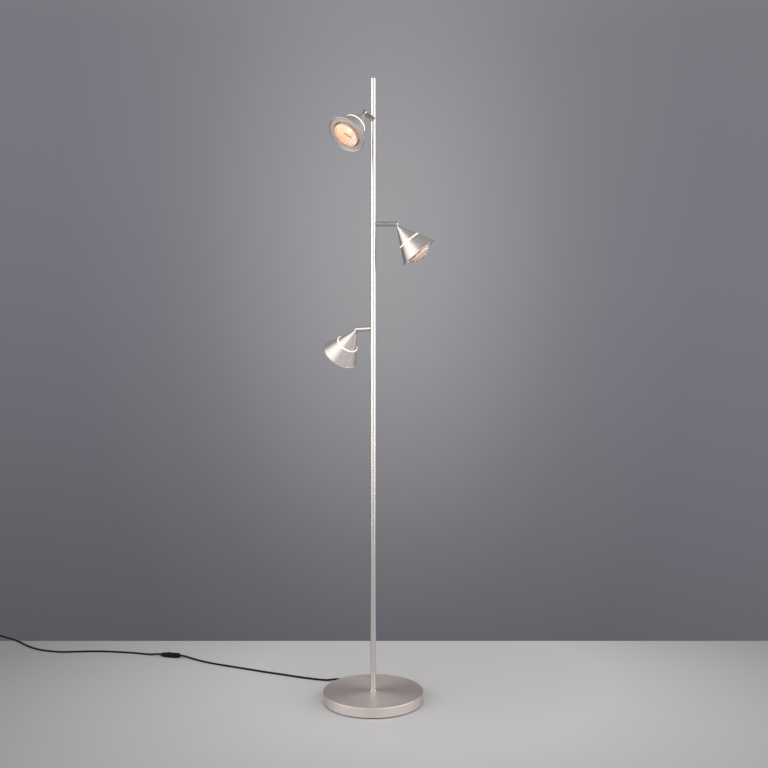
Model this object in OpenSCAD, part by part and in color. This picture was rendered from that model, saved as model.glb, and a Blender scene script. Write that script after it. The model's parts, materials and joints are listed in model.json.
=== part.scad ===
// Floor lamp: a slim pole on a round weighted base, with three swivelling cone spots on short arms.
// Millimetres, +Z up, origin on the floor below the axis of the pole.

/* [Pole] */
// Height of the lamp
total_h = 1555; // [1500:5:1800]
// Outside diameter of the pole
pole_d = 14; // [13:0.5:20]
// Wall of the pole
pole_wall = 1.5; // [1:0.1:2]
// Distance from the low arm down to the joint between the two lengths of pole
joint_drop = 143; // [60:1:300]
// Length of the coupler inside the joint
coupler_len = 60; // [30:5:120]
// Thickness of the cap above the tube
cap_t = 2; // [1:0.5:5]
// Depth of the spigot under the cap
cap_depth = 10; // [5:1:20]
// Width of the collar at the foot, outside the pole
collar_w = 1.75; // [1:0.25:6]
// Height of that collar
collar_h = 3; // [2:0.5:12]

/* [Base] */
// Diameter of the base
base_d = 250; // [200:5:320]
// Height of the base
base_h = 26; // [25:1:45]
// Wall of the pressed cover
cover_wall = 1.5; // [1:0.25:2.5]
// Radius of the cover's upper edge
cover_edge = 2.5; // [1.5:0.25:4]
// Gap between the cover and the floor
cover_lift = 2.6; // [2.2:0.1:5]
// Thickness of the rubber pad
pad_t = 2; // [1:0.5:2.5]
// Distance that the pad stays inside the weight's edge
pad_inset = 3; // [1:0.5:10]
// Thickness of the weight's disc
weight_t = 15; // [14:0.5:18]
// Diameter of the weight's hub
hub_d = 60; // [44:2:100]
// Thickness of the hub above the nut's recess
hub_wall = 4; // [3:0.5:5]
// Room round the cable in the threaded tube
lead_room = 1; // [0.75:0.05:1.25]
// Length of the threaded tube
nipple_len = 52; // [40:1:90]
// Width of the nut across its corners
nut_d = 19.6; // [17:0.1:24]
// Height of the nut
nut_h = 6; // [4:0.5:8]
// Diameter of the washer
washer_d = 28; // [24:1:36]
// Thickness of the washer
washer_t = 1.5; // [1:0.25:2]
// Width of the cord's channel in the weight
channel_w = 9; // [7:0.5:14]
// Distance from the middle to the bar that clamps the cord
clamp_at = 75; // [45:1:85]
// Length of that bar
clamp_l = 26; // [24:1:36]
// Width of that bar
clamp_w = 9; // [8:0.5:14]
// Thickness of that bar
clamp_t = 2; // [1.5:0.25:2.25]

/* [Arms] */
// Outside diameter of an arm
arm_d = 12; // [11.5:0.25:13]
// Wall of an arm
arm_wall = 1; // [0.8:0.1:1.2]
// Length of the knuckle behind its pin
fork_back = 14; // [12:0.5:18]
// Length of the knuckle's spigot inside the arm
spigot_len = 18; // [15:0.5:22]
// Width of the groove for the set screw
groove_w = 2.2; // [2:0.1:3]
// Depth of that groove
groove_depth = 0.8; // [0.6:0.1:1]
// Width of the rib in the groove that stops the swivel
stop_w = 1; // [0.6:0.1:1.4]
// Diameter of the set screw's thread
screw_d = 2.8; // [2:0.1:3]
// Diameter of the set screw's point
point_d = 1.6; // [1.2:0.1:1.8]
// Diameter of the tilt pin
pin_d = 3; // [2.5:0.1:3.4]
// Diameter of the tilt pin's heads
pin_head_d = 5.2; // [4.6:0.1:5.6]
// Height of the tilt pin's heads
pin_head_t = 1.2; // [0.8:0.1:1.5]
// Thickness of the tongue in the knuckle
tongue_t = 5; // [4:0.1:5.4]

/* [Spot heads] */
// Height of the cone from its apex to its mouth
cone_h = 92; // [88:0.5:100]
// Diameter of the mouth
mouth_d = 97; // [90:0.5:104]
// Gap between the pole and the edge of a mouth that points straight down
rim_gap = 1.5; // [1:0.25:30]
// Wall of the cone
cone_wall = 1.2; // [0.8:0.1:1.5]
// Diameter of the rolled lip round the mouth
lip_d = 1.8; // [1.4:0.1:1.8]
// Thickness of the cone's closed end
cone_end_t = 3; // [2:0.25:4]
// Distance from the apex to the middle of the glowing ring
ring_at = 52.5; // [50:0.5:60]
// Width of the glowing ring
ring_w = 3; // [2.5:0.25:6]
// Distance that the ring stands out of the cone
ring_proud = 1; // [0.5:0.1:2.5]
// Depth of the ring's spigots
ring_spigot = 5; // [3:0.5:7]
// Wall of the ring's spigots
ring_wall = 2; // [1.5:0.25:3]
// Depth of the flat ring behind the mouth's edge
glare_depth = 2; // [1:0.25:4]
// Thickness of that flat ring
glare_t = 1.2; // [0.8:0.1:2]
// Open slit between the lamp and the flat ring
glare_gap = 4.2; // [3:0.1:5]
// Diameter of the head's hollow stud
stud_d = 8; // [7:0.25:9]
// Length of that stud
stud_len = 14; // [12:0.5:16]

/* [Lamp] */
// Diameter of the lamp
lamp_d = 63.5; // [58:0.5:66]
// Length of the lamp without its pins
lamp_len = 63; // [60:0.5:68]
// Height of the domed front glass
dome_h = 14; // [10:0.5:18]
// Height of the lamp's straight rim
rim_h = 4; // [2:0.5:6]
// Thickness of the lamp's glass
glass_t = 1.8; // [1:0.1:2.5]
// Diameter of the lamp's ceramic base
lamp_base_d = 24; // [20:0.5:26]
// Height of the lamp's base
lamp_base_h = 10; // [8:0.5:13]
// Diameter of the capsule inside the lamp
capsule_d = 10; // [8:0.5:12]
// Length of that capsule
capsule_len = 24; // [18:0.5:30]
// Distance between the lamp's two pins
pin_gap = 10; // [9:0.5:11]
// Diameter of the lampholder
holder_d = 25; // [22:0.5:26]
// Height of the lampholder
holder_h = 15; // [12:0.5:17]
// Clear height of the lampholder's bracket
bracket_h = 5; // [4:0.5:7]

/* [Top spot] */
// Distance from the top of the pole down to the top arm
top_drop = 102; // [75:1:220]
// Direction of the top arm, from +X towards +Y
top_facing = 250; // [0:0.5:359.5]
// Turn of the top head about its arm
top_swivel = -21; // [-150:0.5:150]
// Tilt of the top head from the line of its arm
top_tilt = 51; // [0:1:90]

/* [Middle spot] */
// Distance from the top arm down to the middle arm
mid_drop = 262; // [220:1:300]
// Direction of the middle arm
mid_facing = 0; // [0:0.5:359.5]
// Turn of the middle head about its arm
mid_swivel = 3; // [-150:0.5:150]
// Tilt of the middle head
mid_tilt = 51; // [0:1:90]

/* [Low spot] */
// Distance from the middle arm down to the low arm
low_drop = 261; // [220:1:320]
// Direction of the low arm
low_facing = 137.5; // [0:0.5:359.5]
// Turn of the low head about its arm
low_swivel = -6; // [-150:0.5:150]
// Tilt of the low head
low_tilt = 44; // [0:1:90]

/* [Cord] */
// Diameter of the cord
cord_d = 5; // [4:0.25:6]
// Direction in which the cord leaves the base
gland_facing = 125; // [100:1:140]
// Height of the cord where it leaves the base
gland_z = 9.5; // [9:0.25:10]
// Length of the strain relief outside the base
gland_len = 25; // [20:1:40]
// Diameter of the strain relief's collar
gland_d = 13; // [11:0.5:14]
// Number of grooves in the strain relief
gland_grooves = 4; // [2:1:6]

/* [Cord switch] */
// Length of the switch
switch_l = 60; // [50:1:75]
// Width of the switch
switch_w = 21; // [20:0.5:26]
// Height of the switch
switch_h = 11.5; // [11:0.25:14]
// Wall of the switch
switch_wall = 1.6; // [1.2:0.1:2]
// Length of the rocker
rocker_l = 13; // [10:0.5:16]
// Width of the rocker
rocker_w = 9; // [7:0.25:10]
// Tilt of the rocker to each side
rocker_tilt = 7; // [4:0.5:8]
// Diameter of the rocker's pivot
pivot_d = 2; // [1.6:0.1:2.4]

/* [Coil and plug] */
// Radius of the outermost turn of the coil
coil_r = 34; // [30:1:60]
// Whole turns in the coil
coil_turns = 4; // [2:1:8]
// Distance between neighbouring turns
coil_pitch = 5.5; // [5.45:0.05:8]
// Width of the strap round the coil
tie_w = 8; // [5:0.5:15]
// Thickness of that strap
tie_t = 0.6; // [0.4:0.1:1]
// Width of the plug
plug_w = 35.3; // [30:0.1:40]
// Thickness of the plug
plug_h = 13.7; // [12:0.1:16]
// Length of the plug's body
plug_l = 34; // [28:1:45]
// Length of the plug's strain relief
plug_tail = 16; // [10:1:25]
// Diameter of a plug pin
plug_pin_d = 4; // [3.8:0.1:4.2]
// Length of a plug pin
plug_pin_l = 19; // [16:0.5:22]
// Distance between the plug's pins
plug_pin_gap = 18.6; // [17:0.1:19.5]

/* [Hidden] */
$fn = 64;
STAND = ["base_pad", "base_weight", "base_cover", "base_nipple", "base_washer", "base_nut",
    "cord_clamp", "clamp_screws", "cord_gland", "inner_lead", "pole_collar", "pole_lower",
    "pole_coupler", "pole_upper", "pole_cap", "swivel_screws"];
CORD = ["cord_run_1", "switch_bottom", "switch_top", "switch_screws", "switch_contacts",
    "switch_rocker", "cord_run_2", "cord_coil", "cord_tie", "plug_body", "plug_pins"];
SPOT = ["arm_tube", "swivel_fork", "tilt_pin", "head_neck", "rear_cone", "light_ring",
    "front_cone", "glare_ring", "lampholder", "lamp_body", "lamp_lens"];
SPOTS = ["top", "mid", "low"];

// Clearances: between pieces that seat, between pieces that turn, and at a turning shoulder
seat = 0.1;
running = 0.05;
shoulder = 0.2;
// Extra length of a cutting tool past the face that it cuts
past = 1;
// Overlap between the forms that one solid is made of
join = 0.2;
// Thickness of the slices that a lofted body is stretched over
slice = 0.2;

// Colours, as the photograph shows the pieces
nickel = "#c9c5be";
nickel_dark = "#8d8983";
black = "#17171a";
iron = "#3c3d40";
rubber = "#26262a";
brass = "#b8964f";
ceramic = "#ece8dc";
glow = "#fffae6";
amber = "#f2a860";
clear = "#f6dcc4";

// The spots from the top down
top_height = total_h - top_drop;
mid_height = top_height - mid_drop;
low_height = mid_height - low_drop;
height = [top_height, mid_height, low_height];
facing = [top_facing, mid_facing, low_facing];
swivel = [top_swivel, mid_swivel, low_swivel];
tilt = [top_tilt, mid_tilt, low_tilt];

// Base, from the floor up
weight_d = base_d - 2 * cover_wall - 4 * seat;
pad_d = weight_d - 2 * pad_inset;
cover_top = base_h - cover_wall;
hub_floor = cover_top - hub_wall;
nut_z = hub_floor - washer_t - nut_h;
nut_chamfer = 0.8;
nipple_z = nut_z - 0.5;
recess_d = washer_d + 4;
channel_top = gland_z + cord_d / 2 + 2;
notch_depth = 5;
clamp_z = gland_z - cord_d / 2 - seat - clamp_t;
clamp_screw_d = 3;
clamp_head_d = 5;
clamp_head_t = 1.6;
clamp_screw_l = 9;

// Pole
pole_bore = pole_d - 2 * pole_wall;
inside_d = pole_bore - 2 * seat;
nipple_bore = cord_d + 2 * lead_room;
tube_top = total_h - cap_t;
joint_z = low_height - joint_drop;
wire_hole_d = 5;
branch_d = 2.8;
lead_bend = 0.8 * cord_d;

// Knuckle
spigot_r = arm_d / 2 - arm_wall - running;
spigot_bore = 4.4;
screw_back = spigot_len / 2;
point_gap = 0.15;
hood_t = 1.6;
fork_gap = 1.3;
tongue_room = 0.8;
pin_seat = 0.9 * arm_d / 2 - pin_head_t;
arm_reach = pole_d / 2 + mouth_d / 2 + rim_gap;
arm_end = arm_reach - fork_back - shoulder;

// Cone: radius outside and inside at a distance s from the apex
function cone_r(s) = mouth_d / 2 * s / cone_h;
slant_wall = cone_wall / cos(atan(mouth_d / 2 / cone_h));
function cone_in(s) = cone_r(s) - slant_wall;
tip_s = arm_d / 2 + fork_gap;
tongue_r = cone_r(tip_s);
top_s = arm_d / 2 / (mouth_d / 2) * cone_h;
ring_s0 = ring_at - ring_w / 2;
ring_s1 = ring_at + ring_w / 2;

// Lamp and holder, from the stud outwards
stud_end = top_s + stud_len;
bracket_t = 1.2;
holder_s = stud_end + bracket_t + bracket_h;
lamp_s = holder_s + holder_h + seat;
lamp_tip = lamp_s + lamp_len;
dome_s = lamp_tip - dome_h;
bowl_s = lamp_s + lamp_base_h;
bracket_l = 17;
bracket_w = 8;
contact_d = 5;
contact_h = 3;
contact_neck = 4;

// Strain relief in the side of the base
gland_tip_r = base_d / 2 + gland_len;
gland_tip = [gland_tip_r * cos(gland_facing), gland_tip_r * sin(gland_facing), gland_z];
gland_dir = [cos(gland_facing), sin(gland_facing), 0];
gland_neck_d = 10;
gland_tip_d = cord_d + 1.8;
gland_lip_t = 3;
gland_collar_t = 2;
gland_in = base_d / 2 - cover_wall - gland_lip_t - 0.5;

// Cord switch
floor_z = cord_d / 2 + 0.05;
switch_at = [-592, 354, 0];
switch_yaw = -13;
switch_dir = [cos(switch_yaw), sin(switch_yaw), 0];
switch_z = switch_h / 2;
pivot_z = switch_h * 0.65;
switch_screw_x = switch_l * 0.27;
switch_screw_d = 2.2;
switch_screw_z = 0.4;
switch_head_d = 4;
switch_head_t = 1.5;
boss_d = 6;
ear_t = 1.6;
ear_rim = 1;
ear_gap = 0.3;
rocker_gap = 0.5;
contact_x = rocker_l * 0.72;
shelf_t = 0.8;
switch_in = switch_at + switch_l / 2 * switch_dir + [0, 0, switch_z];
switch_out = switch_at - switch_l / 2 * switch_dir + [0, 0, switch_z];

// Coil: it winds in on the floor, climbs a layer where it turns back, and winds out on top
coil_at = [-1237, 562, 0];
coil_entry = 56.5;
coil_exit = 90;
coil_sweep = 360 * coil_turns + coil_exit - coil_entry;
coil_step = 15;
coil_lift = 0.15;
coil_z = tie_t + coil_lift + cord_d / 2;
tail_len = 50;
plug_z = plug_h / 2;
plug_at = coil_at + [coil_r * cos(coil_exit) - tail_len, coil_r * sin(coil_exit), plug_z];

// Routes of the cord's free runs, from the lamp outwards
run_1 = concat([gland_tip, gland_tip + 10 * gland_dir], [
    [-97.8, 137, 7.8], [-105.5, 141, 6], [-115, 142.8, 4.2], [-128, 145, 2.9], [-148, 149.8, floor_z],
    [-172, 158.5, floor_z], [-205, 171, floor_z], [-240, 187, floor_z], [-275, 202, floor_z],
    [-310, 217, floor_z], [-345, 234, floor_z], [-380, 250, floor_z], [-415, 266, floor_z],
    [-452, 284, floor_z], [-488, 305, floor_z], [-515, 324, floor_z], [-534, 337, 3.5]],
    [switch_in + 12 * switch_dir, switch_in]);
run_2 = concat([switch_out, switch_out - 12 * switch_dir], [
    [-650, 367, 3.5], [-672, 374, floor_z], [-707, 384, floor_z], [-743, 391, floor_z],
    [-781, 397, floor_z], [-817, 400, floor_z], [-852, 399, floor_z], [-886, 396, floor_z],
    [-922, 394, floor_z], [-960, 402, floor_z], [-1002, 420, floor_z], [-1050, 457, floor_z],
    [-1084, 492, floor_z], [-1116, 520, floor_z], [-1145, 540, floor_z], [-1170, 557.5, 2.8]],
    [coil_point(0) - 24 * coil_heading(0), coil_point(0) - cord_d * coil_heading(0)]);

// Places along the coil, at a turn of a degrees from its start
function ramp(t) = let (u = min(max(t, 0), 1)) u * u * (3 - 2 * u);
function coil_radius(a) = coil_r - coil_pitch * min(a, coil_sweep - a) / 360;
function coil_height(a) = coil_z + coil_pitch * ramp((a - coil_sweep / 2 + 90) / 180);
function coil_point(a) = coil_at + [coil_radius(a) * cos(coil_entry + a),
    coil_radius(a) * sin(coil_entry + a), coil_height(a)];
function coil_heading(a) = [-sin(coil_entry + a), cos(coil_entry + a), 0];

// The wound cord: a straight end, the turns, and a straight tail down to the plug
coil_path = concat(
    [coil_point(0) - cord_d * coil_heading(0)],
    [for (a = [0 : coil_step : coil_sweep]) coil_point(a)],
    [coil_point(coil_sweep),
        coil_point(coil_sweep) + [-22, 0, 0],
        plug_at + [12, 0, 0.4],
        plug_at + [cord_d, 0, 0],
        plug_at]);

// Least gap between turns, measured from centre to centre on the path's points
coil_gap = min([for (i = [1 : len(coil_path) - 2]) for (j = [i + 8 : 1 : len(coil_path) - 2])
    norm(coil_path[i] - coil_path[j])]) - cord_d;
echo(coil_gap = coil_gap);

// Curves and tubes
function unit(v) = v / norm(v);
function spline(a, b, c, d, t) =
    (2 * b + (c - a) * t + (2 * a - 5 * b + 4 * c - d) * t * t + (3 * b - a - 3 * c + d) * t * t * t) / 2;
function smooth(p, steps) = let (last = len(p) - 1) concat(
    [for (i = [0 : last - 1]) for (j = [0 : steps - 1])
        spline(p[max(i - 1, 0)], p[i], p[i + 1], p[min(i + 2, last)], j / steps)],
    [p[last]]);
function heading(p, i) = unit(p[min(i + 1, len(p) - 1)] - p[max(i - 1, 0)]);

// A closed tube of triangles along a path that is never upright
module tube(path, r, sides) {
    last = len(path) - 1;
    points = [for (i = [0 : last])
        let (along = heading(path, i), across = unit(cross([0, 0, 1], along)), up = cross(along, across))
        for (k = [0 : sides - 1]) path[i] + r * (cos(360 * k / sides) * across + sin(360 * k / sides) * up)];
    walls = [for (i = [0 : last - 1]) for (k = [0 : sides - 1])
        let (a = i * sides + k, b = i * sides + (k + 1) % sides)
        for (face = [[a, a + sides, b + sides], [a, b + sides, b]]) face];
    start = [for (k = [1 : sides - 2]) [0, k, k + 1]];
    end = [for (k = [1 : sides - 2]) [last * sides, last * sides + k + 1, last * sides + k]];
    polyhedron(points, concat(walls, start, end));
}

// A round bar from a to b
module bar(a, b, d) {
    v = b - a;
    translate(a) rotate([0, acos(v[2] / norm(v)), atan2(v[1], v[0])]) cylinder(d = d, h = norm(v));
}

// A cylinder along X from x0 to x1
module along_x(x0, x1, d) {
    translate([x0, 0, 0]) rotate([0, 90, 0]) cylinder(d = d, h = x1 - x0);
}

// A cylinder along Y from y0 to y1
module along_y(y0, y1, d) {
    translate([0, y1, 0]) rotate([90, 0, 0]) cylinder(d = d, h = y1 - y0);
}

// Places: a spot's arm with X along it, its knuckle's pin, and its head with Z towards the mouth
module on_arm(i) { translate([0, 0, height[i]]) rotate([0, 0, facing[i]]) children(); }
module at_fork(i) { on_arm(i) translate([arm_reach, 0, 0]) rotate([swivel[i], 0, 0]) children(); }
module at_head(i) { at_fork(i) rotate([0, 90 + tilt[i], 0]) children(); }
module at_gland() { translate([0, 0, gland_z]) rotate([0, 0, gland_facing]) children(); }
module at_switch() { translate(switch_at) rotate([0, 0, switch_yaw]) children(); }
module at_plug() { translate(plug_at) rotate([0, 0, 180]) children(); }

// Base
module base_pad() { color(rubber) cylinder(d = pad_d, h = pad_t); }

module base_weight() {
    color(iron) difference() {
        union() {
            translate([0, 0, pad_t]) cylinder(d = weight_d, h = weight_t);
            translate([0, 0, pad_t]) cylinder(d = hub_d, h = cover_top - pad_t);
        }
        translate([0, 0, pad_t - past]) cylinder(d = recess_d, h = hub_floor - pad_t + past);
        cylinder(d = inside_d + 2 * seat, h = base_h);
        rotate([0, 0, gland_facing]) {
            translate([0, -channel_w / 2, pad_t - past]) cube([base_d, channel_w, channel_top - pad_t + past]);
            translate([weight_d / 2 - notch_depth, -gland_d / 2 - past, pad_t - past])
                cube([base_d, gland_d + 2 * past, weight_t + 2 * past]);
            translate([clamp_at - clamp_w / 2 - seat, -clamp_l / 2 - seat, pad_t - past])
                cube([clamp_w + 2 * seat, clamp_l + 2 * seat, clamp_z + clamp_t + seat - pad_t + past]);
        }
        at_clamp_screws() cylinder(d = clamp_screw_d + 2 * seat, h = clamp_screw_l + seat);
    }
}

module base_cover() {
    color(nickel) difference() {
        rotate_extrude() difference() {
            cover_outline(0);
            cover_outline(cover_wall);
        }
        translate([0, 0, cover_top - past]) cylinder(d = inside_d + 2 * seat, h = cover_wall + 2 * past);
        at_gland() along_x(base_d / 4, base_d, gland_neck_d + 2 * seat);
    }
}

// Half section of the cover, drawn in by a wall
module cover_outline(wall) {
    r = base_d / 2 - wall;
    top = base_h - wall;
    edge = max(cover_edge - wall, 0.5);
    bottom = cover_lift - (wall > 0 ? past : 0);
    difference() {
        translate([0, bottom]) square([r, top - bottom]);
        translate([r - edge, top - edge]) difference() {
            square(edge + past);
            circle(r = edge);
        }
    }
}

module base_nipple() {
    color(brass) translate([0, 0, nipple_z]) difference() {
        cylinder(d = inside_d, h = nipple_len);
        translate([0, 0, -past]) cylinder(d = nipple_bore, h = nipple_len + 2 * past);
    }
}

module base_washer() {
    color(nickel_dark) translate([0, 0, hub_floor - washer_t]) difference() {
        cylinder(d = washer_d, h = washer_t);
        translate([0, 0, -past]) cylinder(d = inside_d + 2 * seat, h = washer_t + 2 * past);
    }
}

module base_nut() {
    r = nut_d / 2 - nut_chamfer;
    color(nickel_dark) translate([0, 0, nut_z]) difference() {
        intersection() {
            cylinder(d = nut_d, h = nut_h, $fn = 6);
            cylinder(r1 = r, r2 = r + nut_h, h = nut_h);
        }
        translate([0, 0, -past]) cylinder(d = inside_d + 2 * seat, h = nut_h + 2 * past);
    }
}

// Bar that holds the cord in its channel, and its two screws
module at_clamp_screws() {
    rotate([0, 0, gland_facing]) for (y = [-1, 1]) translate([clamp_at, y * clamp_l / 3, clamp_z]) children();
}

module cord_clamp() {
    color(nickel_dark) difference() {
        rotate([0, 0, gland_facing]) translate([clamp_at - clamp_w / 2, -clamp_l / 2, clamp_z])
            cube([clamp_w, clamp_l, clamp_t]);
        at_clamp_screws() translate([0, 0, -past]) cylinder(d = clamp_screw_d + 2 * seat, h = clamp_t + 2 * past);
    }
}

module clamp_screws() {
    color(brass) at_clamp_screws() difference() {
        union() {
            cylinder(d = clamp_screw_d, h = clamp_screw_l);
            translate([0, 0, -clamp_head_t]) cylinder(d = clamp_head_d, h = clamp_head_t);
        }
        translate([-clamp_head_d, -clamp_head_d / 16, -clamp_head_t - past])
            cube([2 * clamp_head_d, clamp_head_d / 8, clamp_head_t / 2 + past]);
    }
}

module cord_gland() {
    side = base_d / 2;
    collar_end = side + seat + gland_collar_t;
    groove_step = (gland_len - 2 * gland_collar_t) / gland_grooves;
    color(black) at_gland() difference() {
        union() {
            along_x(gland_in, gland_in + gland_lip_t, gland_neck_d + 2);
            along_x(gland_in, collar_end, gland_neck_d);
            along_x(side + seat, collar_end, gland_d);
            translate([collar_end - join, 0, 0]) rotate([0, 90, 0])
                cylinder(d1 = gland_neck_d, d2 = gland_tip_d, h = side + gland_len - collar_end + join);
        }
        for (k = [0 : gland_grooves - 1]) translate([collar_end + (k + 0.5) * groove_step, 0, 0]) difference() {
            along_x(0, groove_step / 3, gland_d);
            along_x(-past, groove_step / 3 + past, gland_tip_d - 2 * seat);
        }
    }
}

// The cable inside: along its channel, up the threaded tube and the pole, with a branch into each arm
module inner_lead() {
    color(black) {
        at_gland() {
            along_x(lead_bend, gland_in, cord_d);
            translate([lead_bend, 0, lead_bend]) rotate([90, 0, 0]) rotate([0, 0, 180])
                rotate_extrude(angle = 90) translate([lead_bend, 0]) circle(d = cord_d);
            translate([0, 0, lead_bend]) cylinder(d = cord_d, h = height[0] + branch_d - gland_z - lead_bend);
        }
        for (i = [0 : 2]) on_arm(i) along_x(0, arm_end - spigot_len / 2, branch_d);
    }
}

// Pole
module pole_collar() {
    chamfer = collar_h / 6;
    bore = pole_d / 2 + seat / 2;
    r = pole_d / 2 + collar_w;
    color(nickel) translate([0, 0, base_h]) rotate_extrude()
        polygon([[bore, 0], [r, 0], [r, collar_h - chamfer], [r - chamfer, collar_h], [bore, collar_h]]);
}

module pole_tube(z0, z1) {
    translate([0, 0, z0]) difference() {
        cylinder(d = pole_d, h = z1 - z0);
        translate([0, 0, -past]) cylinder(d = pole_bore, h = z1 - z0 + 2 * past);
    }
}

module pole_lower() { color(nickel) pole_tube(base_h, joint_z); }

module pole_upper() {
    color(nickel) difference() {
        pole_tube(joint_z, tube_top);
        for (i = [0 : 2]) on_arm(i) along_x(0, pole_d, wire_hole_d);
    }
}

module pole_coupler() {
    color(brass) translate([0, 0, joint_z - coupler_len / 2]) difference() {
        cylinder(d = inside_d, h = coupler_len);
        translate([0, 0, -past]) cylinder(d = nipple_bore, h = coupler_len + 2 * past);
    }
}

module pole_cap() {
    chamfer = cap_t / 4;
    r = pole_d / 2;
    color(nickel) translate([0, 0, tube_top]) rotate_extrude()
        polygon([[0, -cap_depth], [inside_d / 2, -cap_depth], [inside_d / 2, 0], [r, 0],
            [r, cap_t - chamfer], [r - chamfer, cap_t], [0, cap_t]]);
}

// Arms and knuckles
module arm_tube(i) {
    color(nickel) on_arm(i) difference() {
        along_x(0, arm_end, arm_d);
        along_x(-past, arm_end + past, arm_d - 2 * arm_wall);
        translate([0, 0, -arm_d]) cylinder(d = pole_d + seat, h = 2 * arm_d);
        translate([arm_end + shoulder - screw_back, 0, 0]) cylinder(d = screw_d + seat, h = arm_d);
    }
}

module swivel_screws() {
    outside = arm_d / 2;
    inside = outside - arm_wall;
    color(nickel_dark) for (i = [0 : 2]) on_arm(i) translate([arm_end + shoulder - screw_back, 0, 0])
        difference() {
            union() {
                translate([0, 0, inside]) cylinder(d = screw_d, h = outside - inside);
                translate([0, 0, spigot_r - groove_depth + point_gap])
                    cylinder(d = point_d, h = groove_depth + arm_wall / 2);
            }
            translate([0, 0, outside - arm_wall / 2]) cylinder(d = screw_d / 2, h = arm_wall, $fn = 6);
        }
}

module swivel_fork(i) {
    slot_w = tongue_t + 2 * running;
    slot_back = tongue_r + tongue_room;
    groove_x = -fork_back - screw_back;
    color(nickel) at_fork(i) difference() {
        union() {
            along_x(-fork_back, 0, arm_d);
            sphere(d = arm_d);
            along_x(-fork_back - spigot_len, -fork_back + past, 2 * spigot_r);
        }
        translate([-slot_back, -slot_w / 2, -arm_d]) cube([arm_d * 2, slot_w, arm_d + arm_d / 2 - hood_t]);
        along_y(-arm_d, arm_d, pin_d + running);
        along_y(pin_seat, arm_d, pin_head_d + 2 * seat);
        along_y(-arm_d, -pin_seat, pin_head_d + 2 * seat);
        along_x(-fork_back - spigot_len - past, -slot_back + past, spigot_bore);
        difference() {
            along_x(groove_x - groove_w / 2, groove_x + groove_w / 2, arm_d + past);
            along_x(groove_x - groove_w, groove_x + groove_w, 2 * (spigot_r - groove_depth));
            translate([groove_x - groove_w, -stop_w / 2, -arm_d]) cube([2 * groove_w, stop_w, arm_d]);
        }
    }
}

module tilt_pin(i) {
    socket = 0.8 * pin_d;
    color(nickel_dark) at_fork(i) difference() {
        union() {
            along_y(-pin_seat - join, pin_seat + join, pin_d);
            along_y(pin_seat, pin_seat + pin_head_t, pin_head_d);
            along_y(-pin_seat - pin_head_t, -pin_seat, pin_head_d);
        }
        rotate([90, 0, 0]) for (side = [-1, 1]) translate([0, 0, side * (pin_seat + pin_head_t)])
            cylinder(d = socket, h = pin_head_t, center = true, $fn = 6);
    }
}

// Spot heads, drawn with the apex at the tilt pin and Z towards the mouth
module head_neck(i) {
    color(nickel) at_head(i) difference() {
        union() {
            along_y(-tongue_t / 2, tongue_t / 2, 2 * tongue_r);
            translate([-tongue_r, -tongue_t / 2, 0]) cube([2 * tongue_r, tongue_t, tip_s + join]);
            translate([0, 0, tip_s]) cylinder(r1 = cone_r(tip_s), r2 = cone_r(top_s), h = top_s - tip_s);
            translate([0, 0, top_s - past]) cylinder(d = stud_d, h = stud_len + past);
        }
        along_y(-arm_d, arm_d, pin_d + 2 * running);
        translate([0, 0, tip_s + stud_d / 6]) cylinder(d = stud_d * 0.45, h = stud_len + top_s);
    }
}

module cone_shell(s0, s1, inner_s0) {
    difference() {
        translate([0, 0, s0]) cylinder(r1 = cone_r(s0), r2 = cone_r(s1), h = s1 - s0);
        translate([0, 0, inner_s0])
            cylinder(r1 = cone_in(inner_s0), r2 = cone_in(s1 + past), h = s1 + past - inner_s0);
    }
}

module rear_cone(i) {
    color(nickel) at_head(i) difference() {
        cone_shell(top_s, ring_s0, top_s + cone_end_t);
        cylinder(d = stud_d + 2 * seat, h = top_s + cone_end_t + past);
    }
}

module front_cone(i) {
    color(nickel) at_head(i) {
        cone_shell(ring_s1, cone_h - lip_d / 4, ring_s1 - past);
        rotate_extrude() translate([mouth_d / 2 - lip_d / 2, cone_h - lip_d / 2]) circle(d = lip_d);
    }
}

module light_ring(i) {
    r = cone_r(ring_at) + ring_proud;
    s0 = ring_s0 - ring_spigot;
    upper_0 = cone_in(s0) - seat;
    upper_1 = cone_in(ring_s0) - seat;
    lower = cone_in(ring_s1) - seat;
    bore = upper_0 - ring_wall;
    round_off = ring_w / 8;
    color(glow) at_head(i) rotate_extrude() polygon([
        [bore, s0], [upper_0, s0], [upper_1, ring_s0], [r - round_off, ring_s0],
        [r, ring_s0 + round_off], [r, ring_s1 - round_off], [r - round_off, ring_s1],
        [lower, ring_s1], [lower, ring_s1 + ring_spigot], [bore, ring_s1 + ring_spigot]]);
}

module glare_ring(i) {
    s1 = cone_h - glare_depth;
    s0 = s1 - glare_t;
    inner = lamp_d / 2 + glare_gap;
    bead_d = 1.8 * glare_t;
    color(nickel_dark) at_head(i) rotate_extrude() {
        polygon([[inner, s0], [cone_in(s0) - seat, s0], [cone_in(s1) - seat, s1], [inner, s1]]);
        translate([inner, s1 - bead_d / 2]) circle(d = bead_d);
    }
}

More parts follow.
